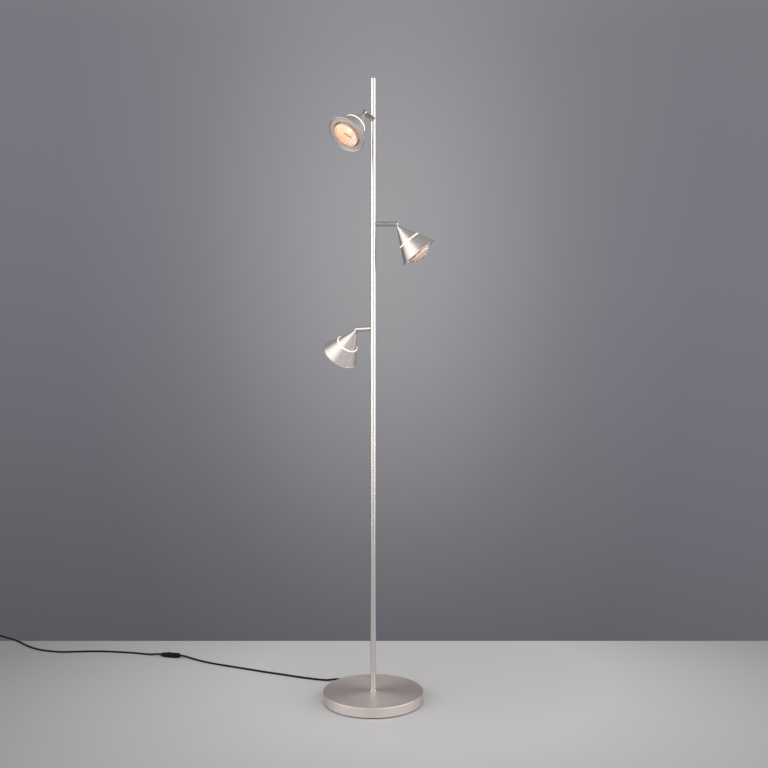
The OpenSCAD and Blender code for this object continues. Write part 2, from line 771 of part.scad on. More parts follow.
module lampholder(i) {
    body_w = holder_d * 0.72;
    socket_d = contact_d + 6 * seat;
    socket_h = contact_neck + contact_h + past;
    color(ceramic) at_head(i) {
        translate([0, 0, holder_s]) difference() {
            intersection() {
                cylinder(d = holder_d, h = holder_h);
                translate([-holder_d, -body_w / 2, -past]) cube([2 * holder_d, body_w, holder_h + 2 * past]);
            }
            for (x = [-1, 1]) translate([x * pin_gap / 2, 0, holder_h - socket_h])
                cylinder(d = socket_d, h = socket_h + past);
        }
        translate([-bracket_l / 2, -bracket_w / 2, stud_end]) cube([bracket_l, bracket_w, bracket_t]);
        for (x = [-bracket_l / 2, bracket_l / 2 - bracket_t]) translate([x, -bracket_w / 2, stud_end])
            cube([bracket_t, bracket_w, bracket_t + bracket_h + join]);
    }
}

// Half section of the lamp's bowl, a parabola from its base to its rim, drawn in by a wall
function bowl(wall, steps) = [for (k = [0 : steps]) let (t = k / steps)
    [lamp_base_d / 2 - wall + (lamp_d - lamp_base_d) / 2 * sqrt(t), bowl_s + (dome_s - rim_h - bowl_s) * t]];

module lamp_body(i) {
    inner = bowl(glass_t, 10);
    color(amber) at_head(i) {
        translate([0, 0, lamp_s]) cylinder(d = lamp_base_d, h = lamp_base_h);
        rotate_extrude() polygon(concat(
            [[0, bowl_s - join], [lamp_base_d / 2, bowl_s - join]], bowl(0, 10),
            [[lamp_d / 2, dome_s], [lamp_d / 2 - glass_t, dome_s]],
            [for (k = [10 : -1 : 1]) inner[k]], [[0, inner[1][1]]]));
        translate([0, 0, bowl_s]) cylinder(d = capsule_d, h = capsule_len - capsule_d / 2);
        translate([0, 0, bowl_s + capsule_len - capsule_d / 2]) sphere(d = capsule_d);
        for (x = [-1, 1]) translate([x * pin_gap / 2, 0, lamp_s - contact_neck - contact_h]) {
            cylinder(d = contact_d, h = contact_h);
            cylinder(d = contact_d * 0.6, h = contact_h + contact_neck + join);
        }
    }
}

module lamp_lens(i) {
    r = (pow(lamp_d / 2, 2) + dome_h * dome_h) / (2 * dome_h);
    color(clear) at_head(i) intersection() {
        translate([0, 0, lamp_tip - r]) difference() {
            sphere(r = r);
            sphere(r = r - glass_t);
        }
        translate([0, 0, dome_s]) cylinder(d = lamp_d + past, h = dome_h + past);
    }
}

// Cord and what is on it
module cord_run_1() { color(black) tube(smooth(run_1, 2), cord_d / 2, 8); }
module cord_run_2() { color(black) tube(smooth(run_2, 2), cord_d / 2, 8); }
module cord_coil() { color(black) tube(coil_path, cord_d / 2, 6); }

module cord_tie() {
    slack = 0.7;
    inner_r = coil_radius(coil_sweep / 2) - cord_d / 2 - slack;
    across = coil_r + cord_d / 2 + slack - inner_r;
    top = coil_z + coil_pitch + cord_d / 2 + coil_lift;
    color(nickel_dark) translate(coil_at) rotate([0, 0, coil_entry + 180]) translate([inner_r, 0, 0])
        difference() {
            translate([-tie_t, -tie_w / 2, 0]) cube([across + 2 * tie_t, tie_w, top + tie_t]);
            translate([0, -tie_w / 2 - past, tie_t]) cube([across, tie_w + 2 * past, top - tie_t]);
        }
}

// Sections of the switch from the plug's side, as shares of its half length, its width and its height
switch_shares = [[-1, 0.42, 0.62], [-0.62, 0.8, 0.92], [-0.1, 1, 1], [0.62, 1, 1], [0.88, 0.84, 0.94],
    [1, 0.56, 0.7]];

// A thin slab with rounded corners, across the switch
module switch_slab(x, w, h) {
    blunt = 0.62;
    translate([x, 0, switch_z]) rotate([90, 0, 90]) linear_extrude(slice, center = true)
        polygon([for (k = [0 : 23]) let (a = 15 * k)
            [w / 2 * sign(cos(a)) * pow(abs(cos(a)), blunt), h / 2 * sign(sin(a)) * pow(abs(sin(a)), blunt)]]);
}

// Body of the switch, drawn in by a wall
module switch_shape(wall) {
    half = switch_l / 2 - slice / 2 - 3 * wall;
    hull() for (share = switch_shares)
        switch_slab(share[0] * half, share[1] * switch_w - 2 * wall, share[2] * switch_h - 2 * wall);
}

module switch_shell() {
    difference() {
        switch_shape(0);
        switch_shape(switch_wall);
    }
}

module at_switch_screws() {
    for (x = [-1, 1]) translate([x * switch_screw_x, 0, switch_screw_z]) children();
}

module switch_bottom() {
    ear_y = rocker_w / 2 + ear_gap;
    ear_z = switch_wall - join;
    color(black) at_switch() {
        difference() {
            union() {
                switch_shell();
                at_switch_screws() translate([0, 0, join]) cylinder(d = boss_d, h = switch_z);
            }
            translate([-switch_l, -switch_w, switch_z]) cube([2 * switch_l, 2 * switch_w, switch_h]);
            at_switch_screws() translate([0, 0, -past]) {
                cylinder(d = switch_screw_d + 2 * seat, h = switch_h);
                cylinder(d = switch_head_d + 2 * seat, h = switch_head_t + past);
            }
        }
        for (x = [-contact_x, contact_x]) translate([x - boss_d / 2, -boss_d / 2, ear_z])
            cube([boss_d, boss_d, join + shelf_t]);
        for (y = [-ear_y - ear_t, ear_y]) difference() {
            translate([-pivot_d / 2 - ear_rim, y, ear_z])
                cube([pivot_d + 2 * ear_rim, ear_t, pivot_z + pivot_d / 2 + ear_rim - ear_z]);
            translate([0, 0, pivot_z]) along_y(-switch_w, switch_w, pivot_d + 2 * running);
        }
    }
}

module switch_top() {
    color(black) at_switch() difference() {
        union() {
            switch_shell();
            at_switch_screws() cylinder(d = boss_d, h = switch_h - switch_screw_z - switch_wall / 2);
        }
        translate([-switch_l, -switch_w, -past]) cube([2 * switch_l, 2 * switch_w, switch_z + past]);
        at_switch_screws()
            cylinder(d = switch_screw_d + 2 * seat, h = switch_h - switch_screw_z - 1.2 * switch_wall);
        translate([-rocker_l / 2 - 2 * rocker_gap, -rocker_w / 2 - rocker_gap, switch_z])
            cube([rocker_l + 4 * rocker_gap, rocker_w + 2 * rocker_gap, switch_h]);
    }
}

// The rocker's profile is a shallow dish above its pivot and a short foot below
module switch_rocker() {
    half = rocker_l / 2;
    proud = switch_h - pivot_z + 1.2;
    dish = 1;
    foot = 3;
    color(black) at_switch() translate([0, 0, pivot_z]) rotate([0, rocker_tilt, 0]) {
        translate([0, rocker_w / 2, 0]) rotate([90, 0, 0]) linear_extrude(rocker_w) polygon(concat(
            [for (k = [-4 : 4]) let (t = k / 4) [half * t, proud - dish * (1 - t * t)]],
            [[half, 0], [half * 0.4, -foot], [-half * 0.4, -foot], [-half, 0]]));
        along_y(-rocker_w / 2 - ear_gap - ear_t, rocker_w / 2 + ear_gap + ear_t, pivot_d);
    }
}

module switch_screws() {
    color(nickel_dark) at_switch() at_switch_screws() difference() {
        union() {
            cylinder(d = switch_head_d, h = switch_head_t);
            cylinder(d = switch_screw_d, h = switch_h - 2 * switch_screw_z - 1.5 * switch_wall);
        }
        translate([-switch_head_d, -switch_head_d / 12, -past])
            cube([2 * switch_head_d, switch_head_d / 6, past + switch_head_t / 2]);
    }
}

module switch_contacts() {
    plate = [5, 6, 1.2];
    color(brass) at_switch() for (x = [-contact_x, contact_x]) translate([x, 0, switch_wall + shelf_t]) {
        translate([-plate[0] / 2, -plate[1] / 2, 0]) cube(plate);
        cylinder(d = plate[1] / 2, h = 2 * plate[2]);
    }
}

// Sections of the plug's body from the cord, as shares of its length, its width twice and its height
plug_shares = [[0, 0.28, 0.22, 0.7], [0.35, 0.66, 0.5, 0.95], [0.62, 0.9, 0.7, 1], [0.94, 1, 0.74, 1],
    [1, 0.96, 0.7, 0.9]];

// A thin slab across the plug, w wide in the middle and flat wide above and below
module plug_slab(x, w, flat, h) {
    side = h / 5;
    translate([x, 0, 0]) rotate([90, 0, 90]) linear_extrude(slice) polygon([
        [-flat / 2, -h / 2], [flat / 2, -h / 2], [w / 2, -side], [w / 2, side],
        [flat / 2, h / 2], [-flat / 2, h / 2], [-w / 2, side], [-w / 2, -side]]);
}

// Plug, drawn with X from the cord to the pins
module plug_body() {
    ribs = 4;
    rib = 0.75 * plug_tail / ribs;
    color(black) at_plug() {
        difference() {
            along_x(0, plug_tail + past, cord_d + 3);
            for (k = [0 : ribs - 1]) translate([rib / 2 + k * rib, 0, 0]) difference() {
                along_x(0, rib / 2, cord_d + 6);
                along_x(-past, rib + past, cord_d + 1.4);
            }
        }
        hull() for (share = plug_shares) plug_slab(plug_tail + share[0] * (plug_l - slice),
            share[1] * plug_w, share[2] * plug_w, share[3] * plug_h);
    }
}

module plug_pins() {
    end = plug_tail + plug_l;
    color(nickel_dark) at_plug() for (y = [-1, 1]) translate([0, y * plug_pin_gap / 2, 0]) {
        along_x(end, end + plug_pin_l - plug_pin_d / 2, plug_pin_d);
        translate([end + plug_pin_l - plug_pin_d / 2, 0, 0]) sphere(d = plug_pin_d);
    }
}

base_pad();
base_weight();
base_cover();
base_nipple();
base_washer();
base_nut();
cord_clamp();
clamp_screws();
cord_gland();
inner_lead();
pole_collar();
pole_lower();
pole_coupler();
pole_upper();
pole_cap();
swivel_screws();
cord_run_1();
switch_bottom();
switch_top();
switch_screws();
switch_contacts();
switch_rocker();
cord_run_2();
cord_coil();
cord_tie();
plug_body();
plug_pins();
for (i = [0 : 2]) {
    arm_tube(i);
    swivel_fork(i);
    tilt_pin(i);
    head_neck(i);
    rear_cone(i);
    light_ring(i);
    front_cone(i);
    glare_ring(i);
    lampholder(i);
    lamp_body(i);
    lamp_lens(i);
}
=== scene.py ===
import json
import math

import bmesh
import bpy
from mathutils import Matrix, Vector


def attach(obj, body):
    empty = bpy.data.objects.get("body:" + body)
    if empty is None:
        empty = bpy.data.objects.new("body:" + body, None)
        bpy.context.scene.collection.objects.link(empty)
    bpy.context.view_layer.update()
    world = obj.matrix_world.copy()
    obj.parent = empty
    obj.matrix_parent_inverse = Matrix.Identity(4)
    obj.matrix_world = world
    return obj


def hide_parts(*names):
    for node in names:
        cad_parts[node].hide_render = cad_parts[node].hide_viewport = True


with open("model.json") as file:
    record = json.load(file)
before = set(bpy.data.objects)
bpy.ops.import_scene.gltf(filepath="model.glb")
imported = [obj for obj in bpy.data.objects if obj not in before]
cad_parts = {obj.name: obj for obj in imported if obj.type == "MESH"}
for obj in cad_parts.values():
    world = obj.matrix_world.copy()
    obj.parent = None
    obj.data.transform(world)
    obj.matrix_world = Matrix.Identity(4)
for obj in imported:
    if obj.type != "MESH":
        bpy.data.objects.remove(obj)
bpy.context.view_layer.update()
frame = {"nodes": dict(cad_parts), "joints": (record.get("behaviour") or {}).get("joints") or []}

mm = 0.001
spots = ("top", "mid", "low")
joints = {joint["name"]: joint for joint in frame["joints"]}
world = Matrix.Identity(4)


# Camera at the height of the pole's middle, level, as the photograph was taken
view = {"place": (0.027, -2.22, 0.791), "lens": 41.625, "sensor": 36, "farthest": 50}

camera = bpy.data.objects.new("camera", bpy.data.cameras.new("camera"))
bpy.context.scene.collection.objects.link(camera)
camera.location = view["place"]
camera.rotation_euler = (math.pi / 2, 0, 0)
camera.data.lens = view["lens"]
camera.data.sensor_width = view["sensor"]
camera.data.clip_end = view["farthest"]
bpy.context.scene.camera = camera


# Materials: small helpers that add and wire nodes
def newMaterial(name, colour, metallic=0.0, roughness=0.5, **sockets):
    material = bpy.data.materials.new(name)
    material.use_nodes = True
    shader = material.node_tree.nodes["Principled BSDF"]
    shader.inputs["Base Color"].default_value = (*colour, 1)
    shader.inputs["Metallic"].default_value = metallic
    shader.inputs["Roughness"].default_value = roughness
    for socket, value in sockets.items():
        shader.inputs[socket.replace("_", " ")].default_value = value
    return material, material.node_tree, shader


def addNode(tree, kind, inputs=(), **settings):
    node = tree.nodes.new(kind)
    for name, value in settings.items():
        setattr(node, name, value)
    for name, value in dict(inputs).items():
        if isinstance(value, bpy.types.NodeSocket):
            tree.links.new(value, node.inputs[name])
        else:
            node.inputs[name].default_value = value
    return node


def mixColours(tree, factor, first, second):
    mix = addNode(tree, "ShaderNodeMix", data_type="RGBA")
    tree.links.new(factor, mix.inputs[0])
    for socket, colour in ((mix.inputs[6], first), (mix.inputs[7], second)):
        if isinstance(colour, bpy.types.NodeSocket):
            tree.links.new(colour, socket)
        else:
            socket.default_value = (*colour, 1)
    return mix.outputs[2]


def stretch(tree, value, low, high, fromLow=0.3, fromHigh=0.7):
    return addNode(tree, "ShaderNodeMapRange", {"Value": value, "From Min": fromLow, "From Max": fromHigh,
                                                "To Min": low, "To Max": high}).outputs[0]


def rampOf(tree, factor, stops):
    ramp = addNode(tree, "ShaderNodeValToRGB", {"Fac": factor})
    elements = ramp.color_ramp.elements
    while len(elements) < len(stops):
        elements.new(0.5)
    for element, (position, colour) in zip(elements, stops):
        element.position = position
        element.color = (*colour, 1)
    return ramp.outputs[0]


def noiseOf(tree, vector, scale, detail, roughness=0.5):
    return addNode(tree, "ShaderNodeTexNoise", {"Vector": vector, "Scale": scale, "Detail": detail,
                                                "Roughness": roughness}).outputs[0]


# Where a point of a piece was drawn, in millimetres, before the piece went to its place
def drawnPlace(tree):
    return addNode(tree, "ShaderNodeAttribute", attribute_name="drawn").outputs["Vector"]


def addBump(tree, shader, height, strength, distance):
    bump = addNode(tree, "ShaderNodeBump", {"Height": height, "Strength": strength, "Distance": distance})
    tree.links.new(bump.outputs[0], shader.inputs["Normal"])


# Nickel turned on a lathe: fine rings in its colour and gloss, and highlights drawn out across them
nickel = {"bright": (0.69, 0.655, 0.63), "dull": (0.65, 0.615, 0.59), "roughness": (0.27, 0.32),
          "anisotropy": 0.72, "rings": 90, "cloud": 0.03, "lift": 0.22, "toneFrom": 0.35, "toneTo": 0.6,
          "bump": 0.02, "depth": 0.0001, "metallic": 1.0}


def turnedMetal(name, finish):
    material, tree, shader = newMaterial(name, finish["bright"], finish["metallic"],
                                         Anisotropic=finish["anisotropy"])
    uvMap = addNode(tree, "ShaderNodeUVMap", uv_map="turned")
    along = addNode(tree, "ShaderNodeSeparateXYZ", {"Vector": uvMap.outputs[0]}).outputs[0]
    rings = addNode(tree, "ShaderNodeTexNoise", {"W": along, "Scale": finish["rings"], "Detail": 5,
                                                 "Roughness": 0.75}, noise_dimensions="1D").outputs[0]
    cloud = noiseOf(tree, drawnPlace(tree), finish["cloud"], 4, 0.6)
    tone = addNode(tree, "ShaderNodeMath", {0: rings, 1: cloud}, operation="MULTIPLY_ADD")
    tone.inputs[2].default_value = finish["lift"]
    share = stretch(tree, tone.outputs[0], 0, 1, finish["toneFrom"], finish["toneTo"])
    tree.links.new(mixColours(tree, share, finish["dull"], finish["bright"]), shader.inputs["Base Color"])
    tree.links.new(stretch(tree, rings, *finish["roughness"]), shader.inputs["Roughness"])
    addBump(tree, shader, rings, finish["bump"], finish["depth"])
    tangent = addNode(tree, "ShaderNodeTangent", direction_type="UV_MAP", uv_map="turned")
    tree.links.new(tangent.outputs[0], shader.inputs["Tangent"])
    return material


# Machined, cast or moulded parts: a fine grain in object coordinates, and a broad one in their colour
grain = {"broader": 12, "depth": 0.0002}


def grainedMaterial(name, colour, dark, metallic, roughness, scale, bump, **sockets):
    material, tree, shader = newMaterial(name, colour, metallic, **sockets)
    place = addNode(tree, "ShaderNodeTexCoord").outputs["Object"]
    fine = noiseOf(tree, place, scale, 5, 0.6)
    broad = noiseOf(tree, place, scale / grain["broader"], 3, 0.55)
    tree.links.new(mixColours(tree, stretch(tree, broad, 0, 1), dark, colour), shader.inputs["Base Color"])
    tree.links.new(stretch(tree, fine, *roughness), shader.inputs["Roughness"])
    addBump(tree, shader, fine, bump, grain["depth"])
    return material


nickelTurned = turnedMetal("nickelTurned", nickel)
nickelDull = turnedMetal("nickelDull", {**nickel, "bright": (0.72, 0.66, 0.61), "dull": (0.66, 0.60, 0.56),
                                        "roughness": (0.5, 0.6), "anisotropy": 0.3, "metallic": 0.6})
nickelCone = turnedMetal("nickelCone", {**nickel, "bright": (0.69, 0.645, 0.615), "dull": (0.65, 0.605, 0.575),
                                        "roughness": (0.42, 0.52), "anisotropy": 0.3})
# The base cover's nickel: a lighter copy of the turned nickel, painted lighter for the light its top catches, and
# rougher
nickelBaseLit = turnedMetal("nickelBaseLit", {**nickel, "bright": (0.76, 0.69, 0.655), "dull": (0.68, 0.615, 0.575),
                                        "roughness": (0.48, 0.58), "anisotropy": 0.5})
nickelSmall = grainedMaterial("nickelSmall", (0.69, 0.63, 0.59), (0.61, 0.555, 0.515), 1.0, (0.26, 0.36), 900, 0.05)
zinc = grainedMaterial("zinc", (0.62, 0.63, 0.64), (0.50, 0.51, 0.52), 1.0, (0.28, 0.42), 700, 0.1)
castIron = grainedMaterial("castIron", (0.085, 0.087, 0.092), (0.045, 0.046, 0.05), 0.35, (0.55, 0.8), 420, 0.7)
brass = grainedMaterial("brass", (0.72, 0.52, 0.24), (0.60, 0.42, 0.19), 1.0, (0.25, 0.4), 800, 0.06)
rubber = grainedMaterial("rubber", (0.03, 0.03, 0.032), (0.018, 0.018, 0.02), 0.0, (0.7, 0.88), 900, 0.35)
ceramic = grainedMaterial("ceramic", (0.84, 0.81, 0.74), (0.74, 0.70, 0.62), 0.0, (0.35, 0.5), 500, 0.12)
tieGrey = grainedMaterial("tieGrey", (0.25, 0.25, 0.255), (0.18, 0.18, 0.185), 0.0, (0.45, 0.6), 700, 0.2)
plugNickel = grainedMaterial("plugNickel", (0.76, 0.745, 0.72), (0.66, 0.65, 0.63), 1.0, (0.14, 0.24), 900, 0.02)
cordBlack = grainedMaterial("cordBlack", (0.006, 0.005, 0.007), (0.003, 0.0025, 0.004), 0.0, (0.55, 0.7), 600, 0.15,
                            Specular_IOR_Level=0.12)
switchBlack = grainedMaterial("switchBlack", (0.006, 0.0055, 0.0065), (0.003, 0.003, 0.004), 0.0, (0.5, 0.65), 1100,
                              0.3, Specular_IOR_Level=0.12)
rockerBlack = grainedMaterial("rockerBlack", (0.01, 0.0095, 0.011), (0.006, 0.006, 0.007), 0.0, (0.3, 0.4), 900, 0.05,
                              Specular_IOR_Level=0.2)


# The frosted ring glows through its whole wall, a little unevenly
frosting = {"colour": (0.75, 0.72, 0.66), "warm": (1.0, 0.88, 0.68), "pale": (1.0, 0.95, 0.83), "strength": 0.65,
            "cloud": 0.06, "frost": 3.0, "bump": 0.1, "depth": 0.0001}


def glowingRing():
    material, tree, shader = newMaterial("frostedRing", frosting["colour"],
                                         Emission_Strength=frosting["strength"])
    drawn = drawnPlace(tree)
    cloud = noiseOf(tree, drawn, frosting["cloud"], 3)
    glow = mixColours(tree, stretch(tree, cloud, 0, 1), frosting["warm"], frosting["pale"])
    tree.links.new(glow, shader.inputs["Emission Color"])
    addBump(tree, shader, noiseOf(tree, drawn, frosting["frost"], 2), frosting["bump"], frosting["depth"])
    return material


# The lit reflector: painted glow in place of the capsule's light on its wall, yellow by the capsule, a painted pink
# highlight at the rim, and a painted orange reflection along one side of its wall
reflector = {"colour": (0.55, 0.46, 0.4), "metallic": 0.2, "roughness": (0.25, 0.4), "strength": 0.68,
             "glow": ((0.0, (1.25, 0.95, 0.42)), (0.35, (1.15, 0.8, 0.42)), (0.6, (1.05, 0.86, 0.78)),
                      (0.85, (1.1, 1.0, 0.97)), (1.0, (1.5, 1.42, 1.36))), "glowFrom": 4, "glowTo": 31.0,
             "orangeReflection": (1.4, 0.5, 0.1), "side": (0.26, -0.966, 0), "sideFrom": 3, "sideTo": 24,
             "shade": (0.78, 0.36, 0.16), "shadeShare": 0.55, "cloud": 0.09}


def glowingReflector():
    material, tree, shader = newMaterial("lampReflector", reflector["colour"], reflector["metallic"],
                                         Emission_Strength=reflector["strength"])
    drawn = drawnPlace(tree)
    flat = addNode(tree, "ShaderNodeVectorMath", {0: drawn, 1: (1, 1, 0)}, operation="MULTIPLY")
    radius = addNode(tree, "ShaderNodeVectorMath", {0: flat.outputs[0]}, operation="LENGTH").outputs["Value"]
    sideways = addNode(tree, "ShaderNodeVectorMath", {0: drawn, 1: reflector["side"]},
                       operation="DOT_PRODUCT").outputs["Value"]
    cloud = noiseOf(tree, drawn, reflector["cloud"], 2)
    glow = rampOf(tree, stretch(tree, radius, 0, 1, reflector["glowFrom"], reflector["glowTo"]), reflector["glow"])
    # Painted orange reflection on one side of the wall, then brown painted shade in clouds over the glow
    warm = mixColours(tree, stretch(tree, sideways, 0, 1, reflector["sideFrom"], reflector["sideTo"]), glow,
                      reflector["orangeReflection"])
    tree.links.new(mixColours(tree, stretch(tree, cloud, 0, reflector["shadeShare"]), warm, reflector["shade"]),
                   shader.inputs["Emission Color"])
    tree.links.new(stretch(tree, cloud, *reflector["roughness"]), shader.inputs["Roughness"])
    return material


capsuleGlow = {"pale": (1.0, 0.90, 0.56), "warm": (1.0, 0.82, 0.4), "roughness": 0.3, "strength": 1.4,
               "cloud": 0.2}


def glowingCapsule():
    pale, warm = capsuleGlow["pale"], capsuleGlow["warm"]
    material, tree, shader = newMaterial("lampCapsule", pale, 0.0, capsuleGlow["roughness"],
                                         Emission_Strength=capsuleGlow["strength"])
    cloud = noiseOf(tree, drawnPlace(tree), capsuleGlow["cloud"], 2)
    tree.links.new(mixColours(tree, stretch(tree, cloud, 0, 1), pale, warm), shader.inputs["Emission Color"])
    return material


# Front glass of a lamp: clear and slightly wavy, with a trace of haze
glazing = {"colour": (0.97, 0.91, 0.87), "roughness": 0.1, "refraction": 1.47, "clear": 0.82, "waves": 0.18,
           "bump": 0.06, "depth": 0.0006}


def lampGlass():
    material, tree, shader = newMaterial("lampGlass", glazing["colour"], 0.0, glazing["roughness"],
                                         IOR=glazing["refraction"], Transmission_Weight=glazing["clear"])
    addBump(tree, shader, noiseOf(tree, drawnPlace(tree), glazing["waves"], 2), glazing["bump"],
            glazing["depth"])
    return material


frostedRing = glowingRing()
lampReflector = glowingReflector()
lampCapsule = glowingCapsule()
lampOuter = grainedMaterial("lampOuter", (0.62, 0.55, 0.52), (0.5, 0.42, 0.44), 0.6, (0.12, 0.25), 300, 0.05,
                            Emission_Color=(1.0, 0.68, 0.55, 1), Emission_Strength=0.2)
# Dark brown of the bar in front of the capsule: painted shade
shadeBarBrown = grainedMaterial("shadeBarBrown", (0.42, 0.28, 0.17), (0.30, 0.20, 0.12), 0.4, (0.4, 0.55), 600, 0.05)
clearGlass = lampGlass()
print("materials made")


# Pieces: each is drawn in millimetres, keeps those places as the attribute drawn, and goes to its place
def addPiece(name, shape, place, material, body, nodes=(), smooth=True, sharpAngle=34):
    drawn = shape.verts.layers.float_vector.new("drawn")
    for vert in shape.verts:
        vert[drawn] = vert.co
    for face in shape.faces:
        face.smooth = smooth
    bmesh.ops.transform(shape, matrix=place @ Matrix.Scale(mm, 4), verts=shape.verts)
    mesh = bpy.data.meshes.new(name)
    shape.to_mesh(mesh)
    shape.free()
    piece = bpy.data.objects.new(name, mesh)
    bpy.context.scene.collection.objects.link(piece)
    if smooth:
        mesh.set_sharp_from_angle(angle=math.radians(sharpAngle))
        piece.modifiers.new("weighted", "WEIGHTED_NORMAL").keep_sharp = True
    mesh.materials.append(material)
    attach(piece, body)
    if nodes:
        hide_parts(*nodes)
    return piece


# A turned shape: its half section, spun round Z, with its ring edges broken and a map along and round it
turning = {"merge": 0.001, "axis": 0.0001, "mapLength": 100}


def turn(section, steps, soften, closed=True):
    shape = bmesh.new()
    run = shape.verts.layers.float.new("run")
    corners = [shape.verts.new((r, 0, z)) for r, z in section]
    length = 0
    for before, corner in zip([corners[0]] + corners, corners):
        length += (corner.co - before.co).length
        corner[run] = length
    for first, second in zip(corners, corners[1:] + corners[:1] if closed else corners[1:]):
        shape.edges.new((first, second))
    bmesh.ops.spin(shape, geom=shape.verts[:] + shape.edges[:], cent=(0, 0, 0), axis=(0, 0, 1),
                   angle=2 * math.pi, steps=steps, use_merge=True)
    bmesh.ops.remove_doubles(shape, verts=shape.verts, dist=turning["merge"])
    bmesh.ops.recalc_face_normals(shape, faces=shape.faces)
    if soften:
        breakEdges(shape, soften)
    mapTurned(shape)
    return shape


def breakEdges(shape, width, limit=28, segments=2):
    sharp = [edge for edge in shape.edges if edge.is_manifold and edge.calc_face_angle() > math.radians(limit)]
    bmesh.ops.bevel(shape, geom=sharp, offset=width, offset_type="OFFSET", affect="EDGES", segments=segments,
                    profile=0.5, material=-1, clamp_overlap=True)


def mapTurned(shape):
    run = shape.verts.layers.float["run"]
    uvMap = shape.loops.layers.uv.new("turned")
    for face in shape.faces:
        centre = face.calc_center_median()
        middle = math.atan2(centre.y, centre.x)
        for loop in face.loops:
            x, y = loop.vert.co.xy
            angle = math.atan2(y, x) if math.hypot(x, y) > turning["axis"] else middle
            angle += 2 * math.pi * round((middle - angle) / (2 * math.pi))
            loop[uvMap].uv = (loop.vert[run] / turning["mapLength"], angle / (2 * math.pi))


def vertsOf(geometry):
    return [item for item in geometry if isinstance(item, bmesh.types.BMVert)]


# Flat faces in the XZ plane, drawn out along Y
def thicken(shape, faces, width):
    grown = bmesh.ops.extrude_face_region(shape, geom=faces)["geom"]
    bmesh.ops.translate(shape, vec=(0, width, 0), verts=vertsOf(grown))
    bmesh.ops.recalc_face_normals(shape, faces=shape.faces)


# Rings of one outline after another, bridged and capped
def loft(rings):
    shape = bmesh.new()
    loops = []
    for ring in rings:
        made = bmesh.ops.create_circle(shape, cap_ends=False, radius=1, segments=len(ring))["verts"]
        for vert, place in zip(made, ring):
            vert.co = place
        loops.append(list(dict.fromkeys(edge for vert in made for edge in vert.link_edges)))
    for first, second in zip(loops, loops[1:]):
        bmesh.ops.bridge_loops(shape, edges=first + second)
    for ends in (loops[0], loops[-1]):
        bmesh.ops.edgeloop_fill(shape, edges=ends)
    bmesh.ops.recalc_face_normals(shape, faces=shape.faces)
    return shape


# A smooth curve through points, with steps places on each span
def smoothRoute(points, steps):
    route = []
    last = len(points) - 1
    for index in range(last):
        a, b, c, d = (Vector(points[min(max(index + k, 0), last)]) for k in (-1, 0, 1, 2))
        for step in range(steps):
            t = step / steps
            route.append((2 * b + (c - a) * t + (2 * a - 5 * b + 4 * c - d) * t * t
                          + (3 * b - a - 3 * c + d) * t ** 3) / 2)
    return route + [Vector(points[-1])]


# Cord: out of the base, over the floor through the switch, into a coil, and down to its plug
cord = {
    "diameter": 5, "length": 2.08, "floor": 2.55, "steps": 6, "insideGland": 5, "pastGland": 10, "atSwitch": 12,
    "glandTip": 150, "glandFacing": 125, "glandHeight": 9.5,
    "fromLamp": ((-97.8, 137, 7.8), (-105.5, 141, 6), (-115, 142.8, 4.2), (-128, 145, 2.9), (-148, 149.8),
                 (-172, 158.5), (-205, 171),
                 (-240, 187), (-275, 202), (-310, 217), (-345, 234), (-380, 250), (-415, 266), (-452, 284),
                 (-488, 305), (-515, 324), (-534, 337, 3.5)),
    "fromSwitch": ((-650, 367, 3.5), (-672, 374), (-707, 384), (-743, 391), (-781, 397), (-817, 400),
                   (-852, 399), (-886, 396), (-922, 394), (-960, 402), (-1002, 420), (-1050, 457),
                   (-1084, 492), (-1116, 520), (-1145, 540), (-1170, 557.5, 2.8)),
    "coilAt": (-1237, 562), "coilRadius": 34, "pitch": 5.5, "coilHeight": 3.25, "entry": 56.5,
    "sweep": 360 * 4 + 33.5, "coilStep": 5, "beforeCoil": 24, "pastCoil": 22, "tail": 50, "tailSteps": 4,
    "plugHeight": 6.85, "beforePlug": 12, "tailLift": 0.4}
switch = {"at": (-592, 354, 0), "yaw": -13, "length": 60, "width": 21, "height": 11.5}


def onFloor(points):
    return [Vector((*point, cord["floor"])) if len(point) == 2 else Vector(point) for point in points]


# The coil winds in on the floor, climbs a layer half way, and winds out on top
def coilPoint(angle):
    sweep = cord["sweep"]
    radius = cord["coilRadius"] - cord["pitch"] * min(angle, sweep - angle) / 360
    share = min(max((angle - sweep / 2 + 90) / 180, 0), 1)
    turned = math.radians(cord["entry"] + angle)
    return Vector((cord["coilAt"][0] + radius * math.cos(turned), cord["coilAt"][1] + radius * math.sin(turned),
                   cord["coilHeight"] + cord["pitch"] * share * share * (3 - 2 * share)))


